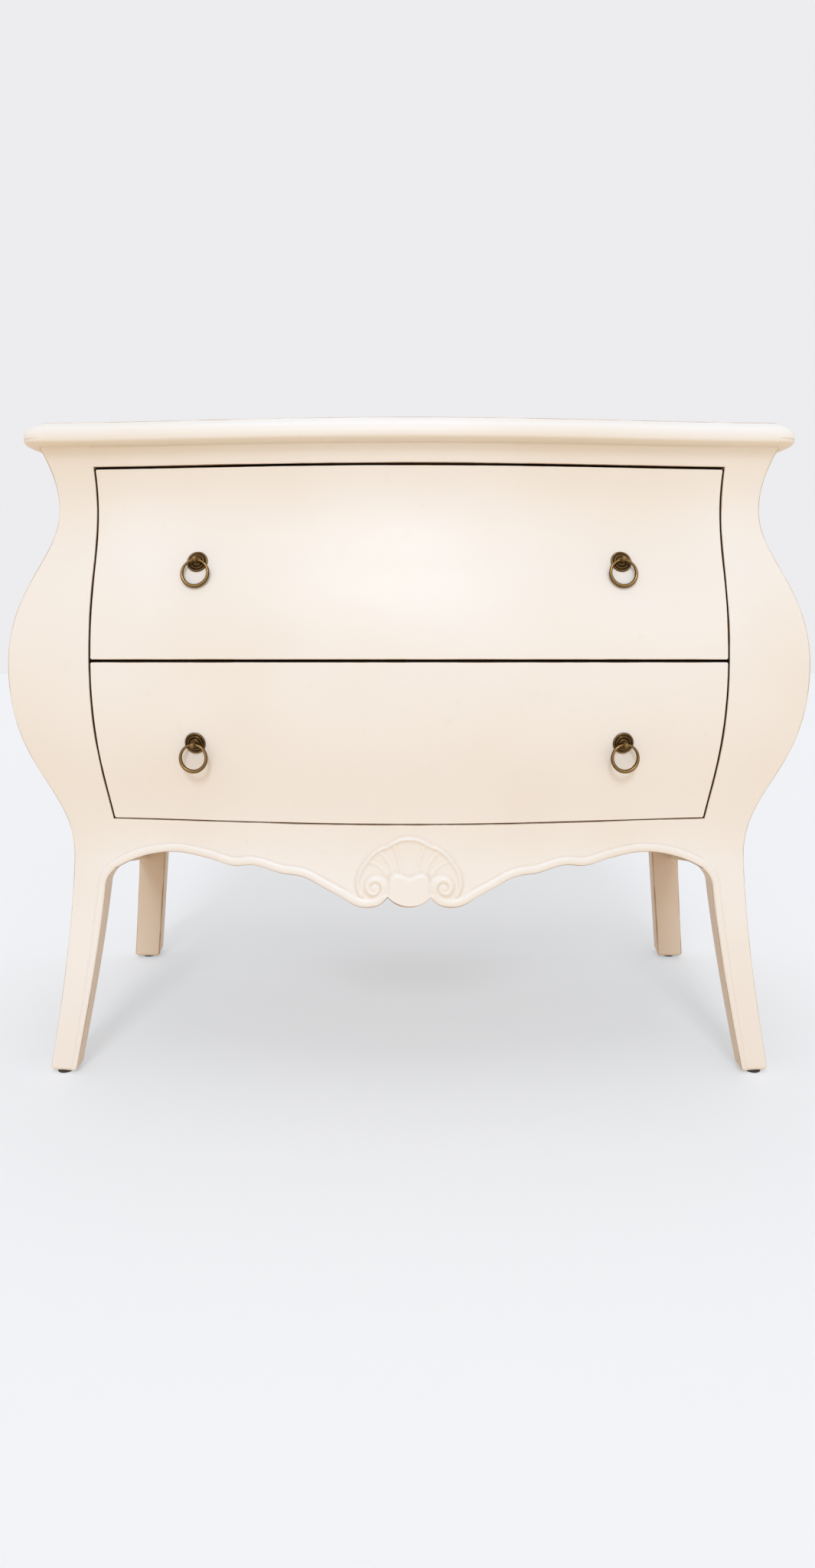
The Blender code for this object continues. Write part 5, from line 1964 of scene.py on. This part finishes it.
def ball(radius: float, centre: float, start: float, end: float, steps: int = 12) -> list[tuple]:
    """(radius, height, rub) points on a ball.

    Args:
        radius: the ball's radius.
        centre: height of its middle.
        start: first angle above its middle.
        end: last angle above its middle.
        steps: the number of points.

    Returns:
        The points, from the first angle to the last.
    """
    turns = np.linspace(start, end, steps)
    return [(radius * math.cos(t), centre + radius * math.sin(t), BALL_RUB) for t in turns]


def raised(points: Sequence[tuple[float, float, float]], height: float) -> list[tuple]:
    """(radius, height, rub) points in metres from points in millimetres over a height."""
    return [(r * MILLIMETRE, height + h * MILLIMETRE, rub) for r, h, rub in points]


@dataclass(frozen=True)
class RingHandle:
    """Ring that swings in the eye of a post, on a stepped rosette."""

    form: BombeForm
    drawer: Drawer
    side: Side
    place: float = 0.274
    seat: float = 0.0005
    rosette_profile: tuple = (
        (2.6, 3.0, 0.1),
        (4.6, 3.0, 0.3),
        (5.4, 2.9, 0.5),
        (6.0, 2.5, 0.3),
        (6.4, 1.8, 0.0),
        (6.8, 1.5, 0.0),
        (7.4, 1.6, 0.1),
        (8.0, 2.1, 0.5),
        (8.7, 2.3, 0.6),
        (9.4, 2.1, 0.3),
        (10.0, 1.5, 0.0),
        (10.6, 1.0, 0.0),
        (11.1, 1.0, 0.0),
        (11.6, 1.3, 0.4),
        (12.2, 1.6, 0.8),
        (12.8, 1.6, 0.8),
        (13.3, 1.4, 0.6),
        (13.7, 0.9, 0.3),
        (13.8, 0.4, 0.1),
        (13.8, 0.0, 0.0),
        (2.6, 0.0, 0.0),
        (2.6, 3.0, 0.1),
    )
    rosette_segments: int = 96
    post_segments: int = 48
    drill_segments: int = 32
    ball_steps: int = 14
    flange_rise: float = 0.0033
    flange_profile: tuple = (
        (2.8, 0.9, 0.0),
        (3.8, 0.8, 0.1),
        (4.2, 0.6, 0.3),
        (4.2, 0.2, 0.2),
        (4.1, 0.0, 0.0),
        (2.3, 0.0, 0.0),
    )
    shank: float = 0.0023
    shank_end: float = -0.0267
    ring_radius: float = 0.0171
    ring_top: float = 0.0016
    ring_bottom: float = 0.0025
    ring_rub: Span = (0.1, 0.8)
    ring_steps: int = 128
    wire_steps: int = 20
    eye_out: float = 0.007129
    eye_radius: float = 0.0020
    eye_drill: float = 0.007
    knuckle: float = 0.0034
    ball_out: float = 0.010986
    ball_radius: float = 0.0034
    neck: float = 0.0028

    @property
    def name(self) -> str:
        """Common part of the handle's node names."""
        return f"{self.drawer.value}_handle_{self.side.word}"

    def frame(self) -> Matrix:
        """Frame on the drawer's face where the rosette sits.

        Returns:
            The frame, as BombeForm.facing gives it.
        """
        low, high = (corner.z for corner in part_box(f"{self.drawer.value}_front"))
        height = low + (high - low) * HANDLE_SHARES[self.drawer]
        return self.form.facing(self.side.value * self.place, height)

    def rosette(self, finishes: Finishes) -> None:
        """Draw the stepped rosette: a rolled rim, a dished ring and a boss.

        Args:
            finishes: the materials.
        """
        turned = Turned(raised(self.rosette_profile, self.seat), self.rosette_segments)
        piece = turned.make(f"{self.name}_rosette_cast", self.frame(), finishes.rosette_brass)
        settle(piece, self.drawer.value, "aged_brass", f"{self.name}_rosette")

    def eye_post(self, finishes: Finishes) -> None:
        """Draw the post: flange, drilled knuckle and ball end.

        Args:
            finishes: the materials.
        """
        neck_angle = math.acos(self.neck / self.knuckle)
        ball_angle = math.acos(self.neck / self.ball_radius)
        profile = [(0.0, self.ball_out + self.ball_radius, BALL_RUB)]
        profile += ball(self.ball_radius, self.ball_out, math.pi / 2, -ball_angle, self.ball_steps)[1:]
        profile += ball(self.knuckle, self.eye_out, neck_angle, -neck_angle)[1:]
        profile += raised(self.flange_profile, self.seat + self.flange_rise)
        profile += [(self.shank, self.shank_end, 0.0), (0.0, self.shank_end, 0.0)]
        placed = self.frame()
        turned = Turned(profile, self.post_segments)
        piece = turned.make(f"{self.name}_post_turned", placed, finishes.brass)
        reach, radius = self.eye_drill, self.eye_radius
        bore = [(0, reach, 0), (radius, reach, 0), (radius, -reach, 0), (0, -reach, 0)]
        hole = Turned(bore, self.drill_segments)
        across = placed @ Matrix.Translation((0, 0, self.eye_out)) @ Matrix.Rotation(math.pi / 2, 4, "Y")
        cutter = hole.make("eye_drill", across, finishes.brass)
        drill = piece.modifiers.new("eye", "BOOLEAN")
        drill.object = cutter
        graph = bpy.context.evaluated_depsgraph_get()
        drilled = bpy.data.meshes.new_from_object(piece.evaluated_get(graph))
        piece.modifiers.clear()
        piece.data = drilled
        bpy.data.objects.remove(cutter)
        settle(piece, self.drawer.value, "aged_brass", f"{self.name}_post")

    def ring(self, finishes: Finishes) -> None:
        """Draw the ring, whose wire is thicker at the bottom.

        Args:
            finishes: the materials.
        """
        placed = self.frame()
        eye = placed @ Vector((0, 0, self.eye_out))
        level = placed.to_3x3().col[0]
        out = placed.to_3x3().col[2]
        touch = math.asin((self.eye_out - self.ring_bottom - self.seat) / (2 * self.ring_radius))
        lean = max(0.0, math.asin(out.z) - touch)
        up = Vector((0, 0, math.cos(lean))) - Vector((out.x, out.y, 0)).normalized() * math.sin(lean)
        axes = Matrix((level, up.cross(level), up)).transposed().to_4x4()
        round_ring = np.linspace(0, 2 * math.pi, self.ring_steps, endpoint=False)[:, None]
        round_wire = np.linspace(0, 2 * math.pi, self.wire_steps, endpoint=False)[None]
        drop = (1 - np.cos(round_ring)) / 2
        wire = self.ring_top + (self.ring_bottom - self.ring_top) * drop
        reach = self.ring_radius + wire * np.cos(round_wire)
        points = np.stack(
            [
                reach * np.sin(round_ring),
                np.broadcast_to(wire * np.sin(round_wire), reach.shape),
                reach * np.cos(round_ring) - self.ring_radius,
            ],
            axis=-1,
        )
        index = np.arange(reach.size).reshape(reach.shape)
        faces = ring_faces(np.concatenate([index, index[:1]]))
        mesh = bpy.data.meshes.new(f"{self.name}_ring")
        mesh.from_pydata(points.reshape(-1, 3).tolist(), [], faces)
        # Rubbed by hands and a painted highlight: the wire is brightest on its side towards the front.
        least, most = self.ring_rub
        rub = least + (most - least) * np.clip(-np.sin(round_wire), 0, 1) ** 3
        set_shade(mesh, "rub", np.broadcast_to(rub, reach.shape))
        mesh.transform(Matrix.Translation(eye) @ axes)
        mesh.materials.append(finishes.brass)
        smooth_mesh(mesh)
        body = f"{self.drawer.name.lower()}_ring_{self.side.word}"
        settle(link_object(f"{self.name}_ring_cast", mesh), body, "aged_brass", f"{self.name}_ring")

    def build(self, finishes: Finishes) -> None:
        """Draw the handle and fix it to its drawer.

        Args:
            finishes: the materials.
        """
        self.rosette(finishes)
        self.eye_post(finishes)
        self.ring(finishes)


@dataclass(frozen=True)
class Glides:
    """Dark pads under the feet."""

    edge: float = 0.0008
    edge_steps: int = 6
    segments: int = 48
    front_height: float = 0.0028
    rear_height: float = 0.0060

    def build(self, finishes: Finishes) -> None:
        """Draw the four glides and fix them to the case.

        Args:
            finishes: the materials.
        """
        for side in Side:
            for row, height in (("front", self.front_height), ("rear", self.rear_height)):
                node = f"{row}_glide_{side.word}"
                low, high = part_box(node)
                radius = (high.x - low.x) / 2
                profile = [(0, height, 0), (radius, height, 0)]
                for turn in np.linspace(math.pi / 2, 0, self.edge_steps):
                    inset = self.edge * (1 - math.sin(turn))
                    profile.append((radius - inset, self.edge * (1 - math.cos(turn)), 0))
                profile.append((0, 0, 0))
                middle = Matrix.Translation(((low.x + high.x) / 2, (low.y + high.y) / 2, 0))
                turned = Turned(profile, self.segments)
                piece = turned.make(f"{node}_pressed", middle, finishes.glide)
                settle(piece, "case", "dark_glide", node)


@dataclass(frozen=True)
class InnerBoards:
    """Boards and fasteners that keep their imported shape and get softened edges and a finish."""

    easing: float = 0.7 * MILLIMETRE
    easing_steps: int = 2
    sharp_degrees: float = 50

    def dress(self, node: str, finish: bpy.types.Material) -> None:
        """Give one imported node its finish.

        Args:
            node: the node's name.
            finish: its material.
        """
        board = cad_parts[node]
        board.data.materials.clear()
        board.data.materials.append(finish)
        bevel = board.modifiers.new("eased_edges", "BEVEL")
        bevel.width = self.easing
        bevel.segments = self.easing_steps
        bevel.limit_method = "ANGLE"
        bevel.angle_limit = math.radians(self.sharp_degrees)
        LOG.info("%s keeps its packed shape", node)

    def build(self, finishes: Finishes) -> None:
        """Dress every board, rail, runner, stop and nut.

        Args:
            finishes: the materials.
        """
        wood = finishes.wood
        plan = {
            wood[Grain.ALONG_X]: [
                "bottom_rail", "rear_top_rail", "rear_middle_rail", "rear_bottom_rail",
                "upper_drawer_stop", "lower_drawer_stop", "upper_drawer_back", "lower_drawer_back",
            ],
            wood[Grain.ALONG_Y]: [
                f"{name}_{side.word}"
                for side in Side
                for name in ("upper_drawer_runner", "lower_drawer_runner", "kicker", "upper_drawer_side",
                             "lower_drawer_side")
            ],
            # The divider rail's front shows between the drawers; its near-black stain is painted shade of
            # that gap.
            finishes.stain: ["divider_rail"],
            finishes.plywood[Grain.ALONG_X]: ["upper_drawer_bottom", "lower_drawer_bottom"],
            finishes.plywood[Grain.ALONG_Z]: ["back_panel"],
            finishes.steel: [
                f"{drawer.value}_handle_{side.word}_nut" for side in Side for drawer in Drawer
            ],
        }
        for finish, nodes in plan.items():
            for node in nodes:
                self.dress(node, finish)


@dataclass(frozen=True)
class Lamp:
    """Soft distant lamp: degrees to the right of the camera's side and above the floor, strength, size."""

    name: str
    azimuth: float
    elevation: float
    strength: float
    spread: float

    def hang(self, tint: tuple[float, float, float]) -> None:
        """Put the lamp in the scene.

        Args:
            tint: its colour.
        """
        data = bpy.data.lights.new(self.name, "SUN")
        data.energy = self.strength
        data.angle = math.radians(self.spread)
        data.color = tint
        turn, rise = math.radians(self.azimuth), math.radians(self.elevation)
        level = math.cos(rise)
        towards = Vector((math.sin(turn) * level, -math.cos(turn) * level, math.sin(rise)))
        link_object(self.name, data).rotation_euler = towards.to_track_quat("Z", "Y").to_euler()


@dataclass(frozen=True)
class Studio:
    """Plain pale floor, soft light and the camera of the photograph."""

    image_height: int = 2048
    focal_pixels: float = 985.0
    horizon_pixel: float = 863.2
    camera_place: tuple = (-0.0022, -1.176, 0.541)
    sensor: float = 36.0
    nearest: float = 0.05
    pale: Colour = (0.845, 0.845, 0.862, 1)
    sky: Colour = (1.0, 0.925, 0.870, 1)
    sky_strength: float = 0.600
    lamps: tuple[Lamp, ...] = (
        Lamp("front", 4, 4, 0.92, 80),
        Lamp("key", -3, 36, 1.06, 16),
        Lamp("overhead", 180, 86, 0.66, 50),
    )
    lamp_tint: tuple[float, float, float] = (0.745, 0.850, 0.985)
    floor_tone: Colour = (0.950, 0.842, 0.800, 1)
    floor_bounce: Colour = (0.930, 0.720, 0.480, 1)
    floor_glow: Colour = (0.845, 1.070, 1.188, 1)
    glow_share: float = 0.35
    floor_size: float = 60.0
    floor_clouds: float = 0.6
    floor_roughness: float = 0.9
    cloud_shade: float = 0.985

    def camera(self) -> None:
        """Set the camera level, at the photograph's place."""
        data = bpy.data.cameras.new("photo_camera")
        data.sensor_width = self.sensor
        data.lens = self.sensor * self.focal_pixels / self.image_height
        data.shift_y = (self.horizon_pixel - self.image_height / 2) / self.image_height
        data.clip_start = self.nearest
        made = link_object("photo_camera", data)
        made.location = self.camera_place
        made.rotation_euler = (math.pi / 2, 0, 0)
        bpy.context.scene.camera = made

    def world(self) -> None:
        """Light the room evenly, and show the pale background to the camera and to reflections."""
        world = bpy.data.worlds.new("studio")
        bpy.context.scene.world = world
        world.use_nodes = True
        world.node_tree.nodes.clear()
        sketch = NodeSketch(world.node_tree)
        light = sketch.node("Background", Color=self.sky, Strength=self.sky_strength)
        shown = sketch.node("Background", Color=self.pale)
        mix = sketch.node("MixShader", Fac=sketch.eye_rays())
        sketch.feed(mix.inputs[1], light.outputs["Background"])
        sketch.feed(mix.inputs[2], shown.outputs["Background"])
        sketch.node("OutputWorld", Surface=mix.outputs["Shader"])

    def floor(self) -> None:
        """Lay the pale floor."""
        half = self.floor_size / 2
        mesh = bpy.data.meshes.new("floor")
        corners = [(-half, -half, 0), (half, -half, 0), (half, half, 0), (-half, half, 0)]
        mesh.from_pydata(corners, [], [(0, 1, 2, 3)])
        sketch = Sketch("studio_floor")
        cloud = sketch.noise(sketch.place(), self.floor_clouds, detail=2)
        dim = tuple(self.cloud_shade * value for value in self.floor_tone[:3]) + (1,)
        shown = sketch.blend(cloud, dim, self.floor_tone)
        tone = sketch.blend(sketch.eye_rays(), self.floor_bounce, shown)
        sketch.finish(Base_Color=tone, Roughness=self.floor_roughness, Specular_IOR_Level=0.0)
        mesh.materials.append(sketch.seen(self.floor_glow, self.glow_share))
        link_object("floor", mesh)

    def build(self) -> None:
        """Set up the camera, the floor and the light."""
        self.camera()
        self.floor()
        self.world()
        for lamp in self.lamps:
            lamp.hang(self.lamp_tint)
        bpy.context.scene.view_settings.view_transform = "Standard"


def main() -> None:
    """Build the dresser's pieces in order, then the studio."""
    logging.basicConfig(level=logging.INFO, format="%(name)s: %(message)s")
    form = BombeForm.from_frame()
    finishes = Finishes.mixed()
    carving = Carving(form)
    rear = RearPosts(form)
    TopBoard(form).build(finishes)
    TopRail(form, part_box("top_rail")[1].y).build(finishes)
    FrontPosts(form, carving).build(finishes)
    rear.build(finishes)
    SideWalls(form, rear.front).build(finishes)
    CarvedApron(form, carving).build(finishes)
    for drawer in Drawer:
        DrawerFront(form, drawer).build(finishes)
        for side in Side:
            RingHandle(form, drawer, side).build(finishes)
    Glides().build(finishes)
    InnerBoards().build(finishes)
    Studio().build()


if __name__ == "__main__":
    main()
